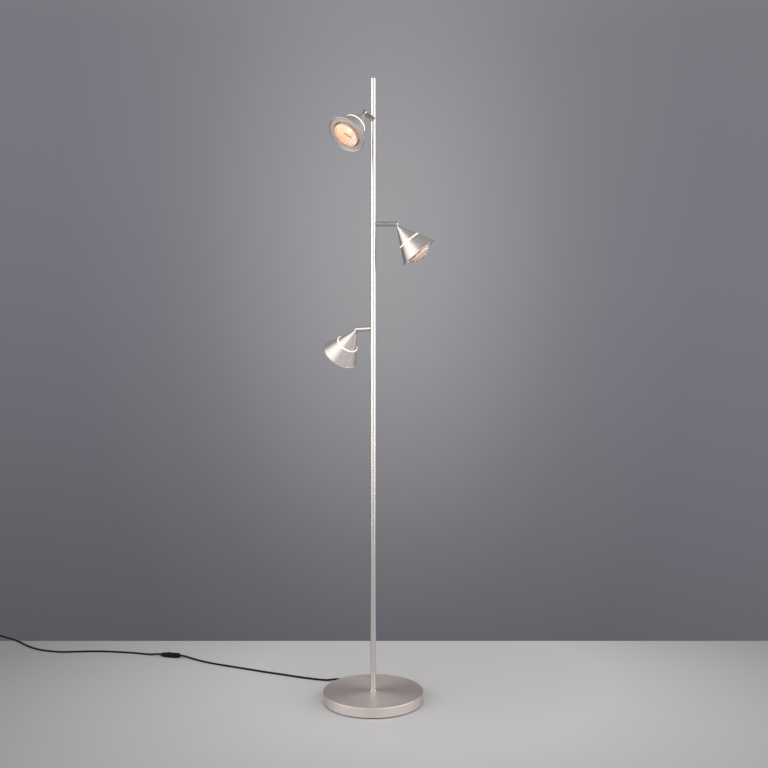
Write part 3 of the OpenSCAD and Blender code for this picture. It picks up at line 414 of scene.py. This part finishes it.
def cordRoute():
    facing = math.radians(cord["glandFacing"])
    outward = Vector((math.cos(facing), math.sin(facing), 0))
    tip = outward * cord["glandTip"] + Vector((0, 0, cord["glandHeight"]))
    yaw = math.radians(switch["yaw"])
    along = Vector((math.cos(yaw), math.sin(yaw), 0))
    middle = Vector(switch["at"]) + Vector((0, 0, switch["height"] / 2))
    entering = middle + along * switch["length"] / 2
    leaving = middle - along * switch["length"] / 2
    entry = math.radians(cord["entry"])
    heading = Vector((-math.sin(entry), math.cos(entry), 0))
    start = coilPoint(0)
    firstRun = smoothRoute([tip, tip + outward * cord["pastGland"]] + onFloor(cord["fromLamp"])
                           + [entering + along * cord["atSwitch"], entering], cord["steps"])
    secondRun = smoothRoute([leaving, leaving - along * cord["atSwitch"]] + onFloor(cord["fromSwitch"])
                            + [start - heading * cord["beforeCoil"], start - heading * cord["diameter"]],
                            cord["steps"])
    steps = int(cord["sweep"] / cord["coilStep"])
    turns = [coilPoint(cord["sweep"] * step / steps) for step in range(steps + 1)]
    end = turns[-1]
    toPlug = Vector((cord["coilAt"][0] - cord["tail"], cord["coilAt"][1] + cord["coilRadius"], cord["plugHeight"]))
    tail = smoothRoute([end, end + Vector((-cord["pastCoil"], 0, 0)),
                        toPlug + Vector((cord["beforePlug"], 0, cord["tailLift"])),
                        toPlug + Vector((cord["diameter"], 0, 0)), toPlug], cord["tailSteps"])
    route = [tip - outward * cord["insideGland"]] + firstRun + secondRun + turns + tail[1:]
    return [point * mm for point in route], tip * mm


def makeCord():
    route, leaves = cordRoute()
    curve = bpy.data.curves.new("cord", "CURVE")
    curve.dimensions = "3D"
    curve.bevel_depth = cord["diameter"] / 2 * mm
    curve.bevel_resolution = 3
    curve.use_fill_caps = True
    line = curve.splines.new("POLY")
    line.points.add(len(route) - 1)
    for point, place in zip(line.points, route):
        point.co = (*place, 1)
    curve.materials.append(cordBlack)
    piece = bpy.data.objects.new("cord", curve)
    bpy.context.scene.collection.objects.link(piece)
    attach(piece, "stand")
    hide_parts("cord_run_1", "cord_run_2", "cord_coil")
    print("cord", round(sum((b - a).length for a, b in zip(route, route[1:])), 4), "m")
    return piece, leaves


cordPiece, cordLeaves = makeCord()


# Stand: base cover, pole in two lengths with its cap, and the collar at its foot
base = {"radius": 125, "top": 26, "lift": 2.6, "wall": 1.5, "edge": 2.5, "hole": 5.5, "soften": 0.2}
pole = {"radius": 7, "bore": 5.5, "joint": 790, "top": 1553, "rows": 8, "soften": 0.12, "cap": 2, "capDepth": 10,
        "capRoom": 0.1, "capEdge": ((0, 1.2), (0.25, 1.7), (0.9, 2)), "collar": 8.75, "collarHeight": 3,
        "collarRoom": 0.05, "collarEdge": 0.7}


# Points on an arc of a half section
def arc(centreR, centreZ, radius, startAngle, endAngle, steps=8):
    angles = [math.radians(startAngle + (endAngle - startAngle) * k / steps) for k in range(steps + 1)]
    return [(centreR + radius * math.cos(a), centreZ + radius * math.sin(a)) for a in angles]


def makeCover():
    r, top, edge, wall = base["radius"], base["top"], base["edge"], base["wall"]
    inner = edge - wall
    section = ([(base["hole"], top - wall), (base["hole"], top), (r / 3, top), (r * 2 / 3, top)]
               + arc(r - edge, top - edge, edge, 90, 0) + [(r, base["lift"]), (r - wall, base["lift"])]
               + arc(r - edge, top - edge, inner, 0, 90, 4))
    addPiece("baseCover", turn(section, 192, soften=base["soften"]), world, nickelBaseLit, "stand",
             ["base_cover"])


def poleTube(name, low, high, node):
    r, bore, rows = pole["radius"], pole["bore"], pole["rows"]
    section = [(bore, low), (r, low)] + [(r, low + (high - low) * k / rows) for k in range(1, rows)]
    section += [(r, high), (bore, high)]
    addPiece(name, turn(section, 72, soften=pole["soften"]), world, nickelTurned, "stand", [node])


def makePole():
    r, top = pole["radius"], pole["top"]
    poleTube("poleLower", base["top"], pole["joint"], "pole_lower")
    poleTube("poleUpper", pole["joint"], top, "pole_upper")
    inside = pole["bore"] - pole["capRoom"]
    cap = [(0, top - pole["capDepth"]), (inside, top - pole["capDepth"]), (inside, top), (r, top)]
    cap += [(r - out, top + rise) for out, rise in pole["capEdge"]] + [(0, top + pole["cap"])]
    addPiece("poleCap", turn(cap, 72, soften=pole["soften"], closed=False), world, nickelTurned, "stand",
             ["pole_cap"])
    inner, outer, edge = r + pole["collarRoom"], pole["collar"], pole["collarEdge"]
    low, high = base["top"], base["top"] + pole["collarHeight"]
    collar = [(inner, low), (outer, low), (outer, high - edge)]
    collar += arc(outer - edge, high - edge, edge, 0, 90, 4) + [(inner, high)]
    addPiece("poleCollar", turn(collar, 72, soften=0.1), world, nickelTurned, "stand", ["pole_collar"])


makeCover()
makePole()
print("stand made")


# Strain relief in the side of the base: a grooved taper of soft plastic
gland = {"inside": 120, "lip": 3, "lipRadius": 6, "neck": 5, "collar": 6.5, "collarFrom": 125.1, "collarTo": 127.1,
         "shoulder": 0.4, "tip": 150, "tipRadius": 3.4, "tipEdge": 0.4, "grooves": 4, "firstGroove": 0.45,
         "plainEnd": 1.5, "grooveDepth": 1.1, "grooveSlope": 0.35, "bore": 2.5}


def makeGland():
    facing = math.radians(cord["glandFacing"])
    place = Matrix.Translation((0, 0, cord["glandHeight"] * mm)) @ Matrix.Rotation(facing, 4, "Z") \
        @ Matrix.Rotation(math.pi / 2, 4, "Y")
    start, end, inside, neck = gland["collarTo"], gland["tip"], gland["inside"], gland["neck"]
    lipEnd, edge, slope = inside + gland["lip"], gland["tipEdge"], gland["grooveSlope"]
    section = [(gland["bore"], inside), (gland["lipRadius"], inside), (gland["lipRadius"], lipEnd), (neck, lipEnd),
               (neck, gland["collarFrom"]), (gland["collar"], gland["collarFrom"]), (gland["collar"], start),
               (neck, start + gland["shoulder"])]
    pitch = (end - start - gland["plainEnd"]) / gland["grooves"]

    def outside(z):
        return neck + (gland["tipRadius"] - neck) * (z - start) / (end - start)

    for k in range(gland["grooves"]):
        z = start + (k + gland["firstGroove"]) * pitch
        width = pitch / 3
        deep = outside(z) - gland["grooveDepth"]
        section += [(outside(z), z), (deep, z + slope), (deep, z + width - slope), (outside(z + width), z + width)]
    section += [(gland["tipRadius"], end - edge), (gland["tipRadius"] - edge, end), (gland["bore"] + 0.02, end)]
    addPiece("strainRelief", turn(section, 48, soften=0.2), place, switchBlack, "stand",
             ["cord_gland"])


makeGland()


# Places of a spot: its arm with X along it, and its head with Z from the apex to the mouth
def spotPlaces(spot):
    swivel, tilt = joints["swivel_" + spot], joints["tilt_" + spot]
    along, across = Vector(swivel["axis"]), Vector(tilt["axis"])
    knuckle = Matrix((along, across, along.cross(across))).transposed().to_4x4()
    knuckle.translation = Vector(swivel["pos_m"])
    head = knuckle @ Matrix.Rotation(math.radians(90 - tilt["range_deg"][0]), 4, "Y")
    arm = Matrix.Translation((0, 0, swivel["pos_m"][2])) @ Matrix.Rotation(math.atan2(along.y, along.x), 4, "Z")
    return arm, head


# Cone of a spot head, in two parts with the glowing ring between them
cone = {"height": 92, "mouth": 48.5, "wall": 1.2, "start": 11.38, "end": 3, "stud": 4.1, "rows": 6, "room": 0.1,
        "lip": 0.9, "lipMeets": 2.15, "ringAt": 52.5, "ringWidth": 3, "ringProud": 1, "ringEdge": 0.7, "spigot": 5,
        "ringWall": 2, "glareDepth": 2, "glareThick": 1.2, "glareInner": 35.95, "bead": 1.08,
        "underBead": 0.6, "glareSteps": ((3.2, 0), (2.4, 0.25), (1.3, 0.25))}


def coneOut(s):
    return cone["mouth"] * s / cone["height"]


def coneIn(s):
    slope = math.cos(math.atan(cone["mouth"] / cone["height"]))
    return coneOut(s) - cone["wall"] / slope


def coneSide(s0, s1):
    steps = [s0 + (s1 - s0) * k / cone["rows"] for k in range(cone["rows"] + 1)]
    return [(coneOut(s), s) for s in steps]


def makeCone(spot, head):
    body = "head_" + spot
    low, high = cone["ringAt"] - cone["ringWidth"] / 2, cone["ringAt"] + cone["ringWidth"] / 2
    start, floor = cone["start"], cone["start"] + cone["end"]
    rear = [(cone["stud"], floor), (cone["stud"], start), (coneOut(start), start)]
    rear += coneSide(start, low)[1:] + [(coneIn(low), low), (coneIn(floor), floor)]
    addPiece("rearCone." + spot, turn(rear, 128, soften=0.18), head, nickelCone, body,
             ["rear_cone_" + spot])
    lip = cone["lip"]
    front = [(coneIn(high), high)] + coneSide(high, cone["height"] - cone["lipMeets"] * lip)
    front += arc(cone["mouth"] - lip, cone["height"] - lip, lip, -88, 172, 14)
    addPiece("frontCone." + spot, turn(front, 160, soften=0.12), head, nickelCone, body,
             ["front_cone_" + spot])

    proud, edge = coneOut(cone["ringAt"]) + cone["ringProud"], cone["ringEdge"]
    s0, room = low - cone["spigot"], cone["room"]
    upper0, upper1, lower = coneIn(s0) - room, coneIn(low) - room, coneIn(high) - room
    bore = upper0 - cone["ringWall"]
    ring = [(bore, s0), (upper0, s0), (upper1, low)]
    ring += arc(proud - edge, low + edge, edge, -90, 0, 4) + arc(proud - edge, high - edge, edge, 0, 90, 4)
    ring += [(lower, high), (lower, high + cone["spigot"]), (bore, high + cone["spigot"])]
    addPiece("lightRing." + spot, turn(ring, 128, soften=0), head, frostedRing, body,
             ["light_ring_" + spot])

    s1 = cone["height"] - cone["glareDepth"]
    s0, inner, bead = s1 - cone["glareThick"], cone["glareInner"], cone["bead"]
    glare = [(inner + cone["underBead"], s0), (coneIn(s0) - room, s0), (coneIn(s1) - room, s1)]
    glare += [(inner + out, s1 - sink) for out, sink in cone["glareSteps"]]
    glare += arc(inner, s1 - bead, bead, 60, 300, 14)
    addPiece("glareRing." + spot, turn(glare, 128, soften=0), head, nickelDull, body,
             ["glare_ring_" + spot])


# Lamp of a spot: base and bowl, faceted reflector, capsule, a dark bar in front of it as painted shade for the dark
# streak across the lit face, and domed glass
lamp = {"base": 46.68, "baseRadius": 12, "baseEdge": 0.6, "bowl": 56.68, "floor": 0.6, "rim": 91.68, "dome": 95.68,
        "tip": 109.68, "radius": 31.75, "rows": 14, "glass": 1.8, "lensEdge": 0.4, "facets": 30, "facetRows": 9,
        "frontShare": 0.6, "frontLift": 1, "backShare": 0.55, "backLift": 0.9, "capsule": 5, "capsuleLift": 1,
        "capsuleLength": 24, "shadeBar": (-1, 4.8, 93), "shadeBarSize": (22, 3.6, 1.2), "shadeBarEdge": 0.5,
        "shadeBarAngle": 72}


def bowlSection(wall, steps):
    low, high = lamp["bowl"], lamp["rim"]
    return [(lamp["baseRadius"] - wall + (lamp["radius"] - lamp["baseRadius"]) * math.sqrt(k / steps),
             low + (high - low) * k / steps) for k in range(steps + 1)]


def reflectorPath(share, lift):
    wall = lamp["glass"] * share
    bowl = [(r, z + lift) for r, z in bowlSection(wall, lamp["facetRows"])]
    return [(0, lamp["bowl"] + lift)] + bowl + [(lamp["radius"] - wall, lamp["dome"])]


def makeBowl(spot, head):
    foot, edge, radius, half = lamp["baseRadius"], lamp["baseEdge"], lamp["radius"], lamp["glass"] / 2
    low, bowl, dome = lamp["base"], lamp["bowl"], lamp["dome"]
    outer = [(0, low), (foot - edge, low), (foot, low + edge), (foot, bowl)]
    outer += bowlSection(0, lamp["rows"])[1:] + [(radius, dome), (radius - half, dome)]
    outer += bowlSection(half, lamp["rows"])[::-1] + [(0, bowl + lamp["floor"])]
    addPiece("lampBowl." + spot, turn(outer, 96, soften=0.15, closed=False), head, lampOuter, "head_" + spot)
    inner = reflectorPath(lamp["frontShare"], lamp["frontLift"])
    inner += reflectorPath(lamp["backShare"], lamp["backLift"])[::-1]
    addPiece("lampReflector." + spot, turn(inner, lamp["facets"], soften=0, closed=False), head, lampReflector,
             "head_" + spot, ["lamp_body_" + spot], smooth=False)


def makeCapsule(spot, head):
    r, low, high = lamp["capsule"], lamp["bowl"] + lamp["capsuleLift"], lamp["bowl"] + lamp["capsuleLength"]
    bulb = [(0, low), (r, low), (r, high - r)] + arc(0, high - r, r, 0, 90)[1:]
    addPiece("lampCapsule." + spot, turn(bulb, 32, soften=0.2, closed=False), head, lampCapsule, "head_" + spot)
    # The dark bar: painted shade laid across the lit face of the lamp
    shadeBar = bmesh.new()
    bmesh.ops.create_cube(shadeBar, size=1)
    bmesh.ops.scale(shadeBar, vec=lamp["shadeBarSize"], verts=shadeBar.verts)
    bmesh.ops.bevel(shadeBar, geom=shadeBar.edges[:], offset=lamp["shadeBarEdge"], affect="EDGES", segments=2,
                    profile=0.5, material=-1)
    bmesh.ops.transform(shadeBar, matrix=Matrix.Translation(lamp["shadeBar"])
                        @ Matrix.Rotation(math.radians(lamp["shadeBarAngle"]), 4, "Z"), verts=shadeBar.verts)
    addPiece("lampShield." + spot, shadeBar, head, shadeBarBrown, "head_" + spot)


def makeLens(spot, head):
    radius, glass, low, rise = lamp["radius"], lamp["glass"], lamp["dome"], lamp["tip"] - lamp["dome"]
    inner = radius - lamp["lensEdge"]
    dome = (radius ** 2 + rise ** 2) / (2 * rise)
    centre = lamp["tip"] - dome
    spread = math.degrees(math.asin(radius / dome))
    within = math.degrees(math.asin(inner / (dome - glass)))
    lens = arc(0, centre, dome, 90, 90 - spread, 20) + [(inner, low)]
    lens += arc(0, centre, dome - glass, 90 - within, 90, 20)[1:]
    addPiece("lampLens." + spot, turn(lens, 96, soften=0, closed=False), head, clearGlass, "head_" + spot,
             ["lamp_lens_" + spot])


# Small pool of brazing where an arm meets the pole: a flared ring that follows the pole
braze = {"arm": 6, "fillet": 0.9, "length": 3, "depth": 0.3, "below": 0.4, "proud": 0.04, "rows": 6}


def makeBraze(spot, arm):
    r, fillet, low, high = braze["arm"], braze["fillet"], -braze["below"], braze["length"]
    inner = r - braze["depth"]
    turns = [math.radians(90 * k / braze["rows"]) for k in range(1, braze["rows"] + 1)]
    flare = [(r + fillet * (1 - math.sin(a)), fillet * (1 - math.cos(a))) for a in turns]
    section = [(inner, low), (r + fillet, low)] + flare + [(r + braze["proud"], high), (inner, high)]
    shape = turn(section, 64, soften=0)
    for vert in shape.verts:
        reach = pole["radius"] ** 2 - vert.co.y ** 2
        vert.co.z += math.sqrt(max(reach, 0))
    addPiece("braze." + spot, shape, arm @ Matrix.Rotation(math.pi / 2, 4, "Y"), nickelSmall, "stand")


for spot in spots:
    arm, head = spotPlaces(spot)
    makeCone(spot, head)
    makeBowl(spot, head)
    makeCapsule(spot, head)
    makeLens(spot, head)
    makeBraze(spot, arm)
print("spots made")


# Switch on the cord: two moulded halves with a seam, and an opening with walls for the rocker
switchForm = {"seam": 5.77, "gap": 0.2, "edge": 0.3, "sharp": 60, "blunt": 0.62, "segments": 56,
              "sections": ((-1, 0.36, 0.56), (-0.985, 0.42, 0.62), (-0.95, 0.47, 0.665), (-0.8, 0.625, 0.79),
                           (-0.62, 0.8, 0.91), (-0.4, 0.905, 0.965), (-0.1, 0.985, 0.997), (0.2, 1, 1),
                           (0.62, 1, 0.998), (0.78, 0.925, 0.97), (0.88, 0.84, 0.93), (0.95, 0.7, 0.83),
                           (0.985, 0.61, 0.75), (1, 0.54, 0.68))}


def switchPlace():
    return Matrix.Translation(Vector(switch["at"]) * mm) @ Matrix.Rotation(math.radians(switch["yaw"]), 4, "Z")


def blunted(value):
    return math.copysign(abs(value) ** switchForm["blunt"], value)


def switchRings():
    halfWidth, halfHeight, segments = switch["width"] / 2, switch["height"] / 2, switchForm["segments"]
    turns = [2 * math.pi * k / segments for k in range(segments)]
    return [[(share * switch["length"] / 2, blunted(math.cos(a)) * wide * halfWidth,
              halfHeight + blunted(math.sin(a)) * high * halfHeight) for a in turns]
            for share, wide, high in switchForm["sections"]]


def switchHalf(height, keepBelow):
    half = loft(switchRings())
    cut = bmesh.ops.bisect_plane(half, geom=half.verts[:] + half.edges[:] + half.faces[:], plane_co=(0, 0, height),
                                 plane_no=(0, 0, 1), clear_outer=keepBelow, clear_inner=not keepBelow)["geom_cut"]
    bmesh.ops.holes_fill(half, edges=[item for item in cut if isinstance(item, bmesh.types.BMEdge)], sides=0)
    breakEdges(half, switchForm["edge"], switchForm["sharp"])
    return half


# The opening: cut out of the top, walled down to the seam, and closed there round its hole
def openTop(upper, halfX, halfY):
    seam = switchForm["seam"]
    for point, normal in (((halfX, 0, 0), (1, 0, 0)), ((-halfX, 0, 0), (1, 0, 0)), ((0, halfY, 0), (0, 1, 0)),
                          ((0, -halfY, 0), (0, 1, 0))):
        bmesh.ops.bisect_plane(upper, geom=upper.verts[:] + upper.edges[:] + upper.faces[:], plane_co=point,
                               plane_no=normal)
    underside = [face for face in upper.faces if all(abs(vert.co.z - seam) < 0.001 for vert in face.verts)]
    bmesh.ops.delete(upper, geom=underside, context="FACES")
    hole = [face for face in upper.faces if face.normal.z > 0.5 and abs(face.calc_center_median().x) < halfX
            and abs(face.calc_center_median().y) < halfY]
    rim = [edge for edge in dict.fromkeys(edge for face in hole for edge in face.edges)
           if sum(face in hole for face in edge.link_faces) == 1]
    bmesh.ops.delete(upper, geom=hole, context="FACES")
    walls = bmesh.ops.extrude_edge_only(upper, edges=[edge for edge in rim if edge.is_valid])["geom"]
    for vert in vertsOf(walls):
        vert.co.z = seam
    bmesh.ops.triangle_fill(upper, edges=[edge for edge in upper.edges if edge.is_boundary], use_beauty=True,
                            normal=(0, 0, -1))
    bmesh.ops.recalc_face_normals(upper, faces=upper.faces)


def makeSwitch():
    lower = switchHalf(switchForm["seam"] - switchForm["gap"], keepBelow=True)
    addPiece("switchBottom", lower, switchPlace(), switchBlack, "stand", ["switch_bottom"])
    upper = switchHalf(switchForm["seam"], keepBelow=False)
    openTop(upper, rocker["length"] / 2 + 2 * rocker["gap"], rocker["width"] / 2 + rocker["gap"])
    addPiece("switchTop", upper, switchPlace(), switchBlack, "stand", ["switch_top"])


# Rocker: its top is dished, and its foot narrower
rocker = {"length": 13, "width": 9, "gap": 0.5, "pivot": 7.475, "tilt": 7, "proud": 1.2, "dish": 1.0, "rows": 6,
          "foot": 0.4, "below": 3, "edge": 0.35, "sharp": 40}


def makeRocker():
    half, width, rows, low = rocker["length"] / 2, rocker["width"], rocker["rows"], -rocker["below"]
    proud = switch["height"] - rocker["pivot"] + rocker["proud"]
    outline = [(half * k / rows, proud - rocker["dish"] * (1 - (k / rows) ** 2)) for k in range(-rows, rows + 1)]
    outline += [(half, 0), (half * rocker["foot"], low), (-half * rocker["foot"], low), (-half, 0)]
    shape = bmesh.new()
    side = shape.faces.new([shape.verts.new((x, -width / 2, z)) for x, z in outline])
    thicken(shape, [side], width)
    breakEdges(shape, rocker["edge"], rocker["sharp"], 3)
    place = switchPlace() @ Matrix.Translation((0, 0, rocker["pivot"] * mm)) \
        @ Matrix.Rotation(math.radians(rocker["tilt"]), 4, "Y")
    addPiece("rocker", shape, place, rockerBlack, "rocker", ["switch_rocker"], sharpAngle=50)


makeSwitch()
makeRocker()


# Plug: flat moulded body with a ribbed tail, and two half-sleeved pins
plug = {"at": (-1287, 596, 6.85), "body": 34, "width": 35.3, "height": 13.7, "corner": 1.1, "tail": 16,
        "tailRadius": 4.0, "tailBore": 2.45, "tailEdge": 0.4, "inBody": 1, "ribs": 4, "ribbed": 0.75,
        "ribDepth": 0.75, "ribSlope": 0.25, "pin": 2, "pinLength": 19, "pinGap": 18.6, "sleeve": 10,
        "sleeveWall": 0.15,
        "sections": ((0, 0.26, 0.2, 0.64), (0.03, 0.29, 0.23, 0.72), (0.18, 0.48, 0.36, 0.86),
                     (0.35, 0.66, 0.5, 0.95), (0.62, 0.9, 0.7, 1), (0.8, 0.965, 0.73, 1), (0.94, 1, 0.74, 1),
                     (0.985, 0.98, 0.72, 0.95), (1, 0.955, 0.7, 0.9))}


def plugPlace():
    return Matrix.Translation(Vector(plug["at"]) * mm) @ Matrix.Rotation(math.pi, 4, "Z")


def makePlugBody():
    rings = []
    for share, wide, flat, high in plug["sections"]:
        w, f, h = wide * plug["width"] / 2, flat * plug["width"] / 2, high * plug["height"] / 2
        side = high * plug["height"] / 5
        outline = ((f, h), (w, side), (w, -side), (f, -h), (-f, -h), (-w, -side), (-w, side), (-f, h))
        rings.append([(plug["tail"] + share * plug["body"], y, z) for y, z in outline])
    body = loft(rings)
    lengthwise = [edge for edge in body.edges if abs(edge.verts[0].co.x - edge.verts[1].co.x) > 0.3]
    bmesh.ops.bevel(body, geom=lengthwise, offset=plug["corner"], offset_type="OFFSET", affect="EDGES", segments=3,
                    profile=0.5, material=-1, clamp_overlap=True)
    return addPiece("plugBody", body, plugPlace(), switchBlack, "stand", ["plug_body"],
                    sharpAngle=40)


def makePlugTail(place):
    bore, outer, edge, high = plug["tailBore"], plug["tailRadius"], plug["tailEdge"], plug["tail"] + plug["inBody"]
    deep, slope, pitch = outer - plug["ribDepth"], plug["ribSlope"], plug["ribbed"] * plug["tail"] / plug["ribs"]
    tail = [(bore, 0), (outer - edge, 0), (outer, edge)]
    for k in range(plug["ribs"]):
        z = pitch / 2 + k * pitch
        tail += [(outer, z), (deep, z + slope), (deep, z + pitch / 2 - slope), (outer, z + pitch / 2)]
    tail += [(outer, high), (bore, high)]
    return addPiece("plugTail", turn(tail, 40, soften=0.15), place, switchBlack, "stand")


def makePlug():
    lying = Matrix.Rotation(math.pi / 2, 4, "Y")
    pieces = [makePlugBody(), makePlugTail(plugPlace() @ lying)]
    r, inner, start = plug["pin"], plug["pin"] - plug["sleeveWall"], plug["tail"] + plug["body"]
    sleeved, end = start + plug["sleeve"], start + plug["pinLength"]
    pin = [(0, start - plug["inBody"]), (inner, start - plug["inBody"]), (inner, sleeved), (r, sleeved + 0.2)]
    pin += arc(0, end - r, r, 0, 90, 6)
    sleeve = [(inner, start), (r, start), (r, sleeved), (inner, sleeved)]
    for number, y in ((1, -plug["pinGap"] / 2), (2, plug["pinGap"] / 2)):
        place = plugPlace() @ Matrix.Translation((0, y * mm, 0)) @ lying
        pieces.append(addPiece("plugPin.%d" % number, turn(pin, 32, soften=0.05, closed=False), place, plugNickel,
                               "stand", ["plug_pins"] if number == 1 else ()))
        pieces.append(addPiece("pinSleeve.%d" % number, turn(sleeve, 32, soften=0.05), place, rockerBlack, "stand"))
    return pieces


plugPieces = makePlug()


# Strap round the coil: a flat band with rounded corners
tie = {"width": 8, "thickness": 0.6, "slack": 0.7, "lift": 0.15, "corner": 2.2}


def makeTie():
    centre, half, t = Vector((*cord["coilAt"], 0)), cord["diameter"] / 2, tie["thickness"]
    inside = (coilPoint(cord["sweep"] / 2) - centre).xy.length - half - tie["slack"]
    across = cord["coilRadius"] + half + tie["slack"] - inside
    top = cord["coilHeight"] + cord["pitch"] + half + tie["lift"]
    band = bmesh.new()
    corners = [band.verts.new((x, -tie["width"] / 2, z)) for x, z in
               ((-t, 0), (across + t, 0), (across + t, top + t), (-t, top + t))]
    band.faces.new(corners)
    bmesh.ops.bevel(band, geom=corners, offset=tie["corner"], affect="VERTICES", segments=5, profile=0.5, material=-1)
    rim = bmesh.ops.inset_region(band, faces=band.faces[:], thickness=t, use_boundary=True,
                                 use_even_offset=True)["faces"]
    bmesh.ops.delete(band, geom=[face for face in band.faces if face not in rim], context="FACES")
    thicken(band, band.faces[:], tie["width"])
    place = Matrix.Translation(centre * mm) @ Matrix.Rotation(math.radians(cord["entry"] + 180), 4, "Z") \
        @ Matrix.Translation((inside * mm, 0, 0))
    return addPiece("coilTie", band, place, tieGrey, "stand", ["cord_tie"])


tiePiece = makeTie()
print("cord's pieces made")


# CAD nodes that stay: the record's slot of each picks its finish
finishes = {"nickel": nickelSmall, "nickel_inner": nickelSmall, "zinc": zinc, "plug_nickel": plugNickel,
            "iron": castIron, "brass": brass, "rubber": rubber, "cord_black": cordBlack,
            "switch_black": switchBlack, "rocker_black": rockerBlack, "tie_grey": tieGrey,
            "frosted_ring": frostedRing, "holder_ceramic": ceramic, "lamp_reflector": lampOuter,
            "lamp_glass": clearGlass}
for name, node in frame["nodes"].items():
    slot = node.data.materials[0].name.split(".")[0]
    node.data.materials.clear()
    node.data.materials.append(finishes[slot])


# Stage: a pale floor with a painted pool of light round the lamp and painted shade towards its edges, a grey surround
# that metal and glass show too, and soft boxes
stage = {"floor": ((-3.2, -3.4), (3.2, -3.4), (3.2, 0.514), (-1.1612, 0.514), (-1.2762, 0.78), (-3.2, 0.78)),
         "floorColour": (0.515, 0.507, 0.521), "floorPaintedShade": (0.25, 0.247, 0.255), "floorRoughness": 0.7,
         "floorCloud": 1.6, "floorShade": 0.97, "floorCentre": (-0.075, -0.1, 0), "floorScale": (0.5, 0.5, 0.5),
         "floorFrom": 0.38, "floorTo": 0.76, "light": 0.4, "lift": (0.36, 0.7), "above": (0.32, 0.315, 0.31),
         "lean": 0.2,
         "wall": ((0.0, (0.094, 0.093, 0.107)), (0.12, (0.115, 0.112, 0.130)), (0.30, (0.146, 0.143, 0.165)),
                  (0.475, (0.169, 0.166, 0.192)), (0.64, (0.184, 0.181, 0.209)), (1.0, (0.196, 0.193, 0.218))),
         "wallFrom": -0.35, "wallTo": 0.45, "glowCentre": (0, 0, -0.267), "glowScale": (3.0, 0, 1.776),
         "glow": ((0.0, (0, 0, 0)), (0.25, (0.017, 0.017, 0.016)), (0.4, (0.039, 0.039, 0.036)),
                  (0.65, (0.102, 0.101, 0.093)), (0.8, (0.141, 0.140, 0.129)), (1.0, (0.166, 0.165, 0.152)))}
softColour = (1.0, 0.985, 0.97)
softBoxes = (
    {"name": "leftBox", "place": (-1.59, -1.03, 1.66), "aim": (0, 0, 1.8), "size": (3.6, 2.8), "power": 58},
    {"name": "rightBox", "place": (1.68, -0.89, 1.66), "aim": (0, 0, 1.8), "size": (4.4, 2.8), "power": 70})


# A round patch, from 1 at its centre to 0 at its rim
def patchOf(tree, vector, centre, scale):
    placed = addNode(tree, "ShaderNodeMapping", {"Vector": vector, "Location": centre, "Scale": scale})
    return addNode(tree, "ShaderNodeTexGradient", {"Vector": placed.outputs[0]},
                   gradient_type="SPHERICAL").outputs[1]


def makeStage():
    ground = bmesh.new()
    ground.faces.new([ground.verts.new((x, y, 0)) for x, y in stage["floor"]])
    mesh = bpy.data.meshes.new("floor")
    ground.to_mesh(mesh)
    ground.free()
    material, tree, shader = newMaterial("floor", stage["floorColour"], 0.0, stage["floorRoughness"])
    place = addNode(tree, "ShaderNodeTexCoord").outputs["Object"]
    # Painted pool of light: the floor's colour near the lamp, fading to painted shade away from it
    patch = patchOf(tree, place, stage["floorCentre"], stage["floorScale"])
    cloud = noiseOf(tree, place, stage["floorCloud"], 3)
    darker = tuple(stage["floorShade"] * channel for channel in stage["floorColour"])
    middle = mixColours(tree, stretch(tree, cloud, 0, 1), darker, stage["floorColour"])
    share = stretch(tree, patch, 0, 1, stage["floorFrom"], stage["floorTo"])
    tree.links.new(mixColours(tree, share, stage["floorPaintedShade"], middle), shader.inputs["Base Color"])
    mesh.materials.append(material)
    floor = bpy.data.objects.new("floor", mesh)
    bpy.context.scene.collection.objects.link(floor)


def makeSurround():
    surround = bpy.data.worlds.new("surround")
    bpy.context.scene.world = surround
    surround.use_nodes = True
    tree = surround.node_tree
    tree.nodes.clear()
    direction = addNode(tree, "ShaderNodeTexCoord").outputs["Generated"]
    parts = addNode(tree, "ShaderNodeSeparateXYZ", {"Vector": direction}).outputs
    lean = addNode(tree, "ShaderNodeMath", {0: parts["X"], 1: stage["lean"], 2: parts["Z"]}, operation="MULTIPLY_ADD")
    wall = rampOf(tree, stretch(tree, lean.outputs[0], 0, 1, stage["wallFrom"], stage["wallTo"]), stage["wall"])
    glow = rampOf(tree, patchOf(tree, direction, stage["glowCentre"], stage["glowScale"]), stage["glow"])
    lit = addNode(tree, "ShaderNodeVectorMath", {0: wall, 1: glow}, operation="ADD")
    around = mixColours(tree, stretch(tree, parts["Z"], 0, 1, *stage["lift"]), lit.outputs[0], stage["above"])
    seen = addNode(tree, "ShaderNodeBackground", {"Color": around})
    plain = addNode(tree, "ShaderNodeBackground", {"Color": (1, 1, 1, 1), "Strength": stage["light"]})
    rays = addNode(tree, "ShaderNodeLightPath").outputs
    either = rays["Is Camera Ray"]
    for kind in ("Is Glossy Ray", "Is Transmission Ray"):
        either = addNode(tree, "ShaderNodeMath", {0: either, 1: rays[kind]}, operation="MAXIMUM").outputs[0]
    mix = addNode(tree, "ShaderNodeMixShader", {0: either, 1: plain.outputs[0], 2: seen.outputs[0]})
    addNode(tree, "ShaderNodeOutputWorld", {"Surface": mix.outputs[0]})


def makeBox(box):
    light = bpy.data.lights.new(box["name"], "AREA")
    light.shape = "RECTANGLE"
    light.size, light.size_y = box["size"]
    light.energy = box["power"]
    light.color = softColour
    lit = bpy.data.objects.new(box["name"], light)
    lit.location = box["place"]
    lit.rotation_euler = (Vector(box["aim"]) - Vector(box["place"])).to_track_quat("-Z", "Y").to_euler()
    lit.visible_camera = False
    bpy.context.scene.collection.objects.link(lit)


makeStage()
makeSurround()
for box in softBoxes:
    makeBox(box)
bpy.context.scene.view_settings.view_transform = "Standard"
print("stage made")
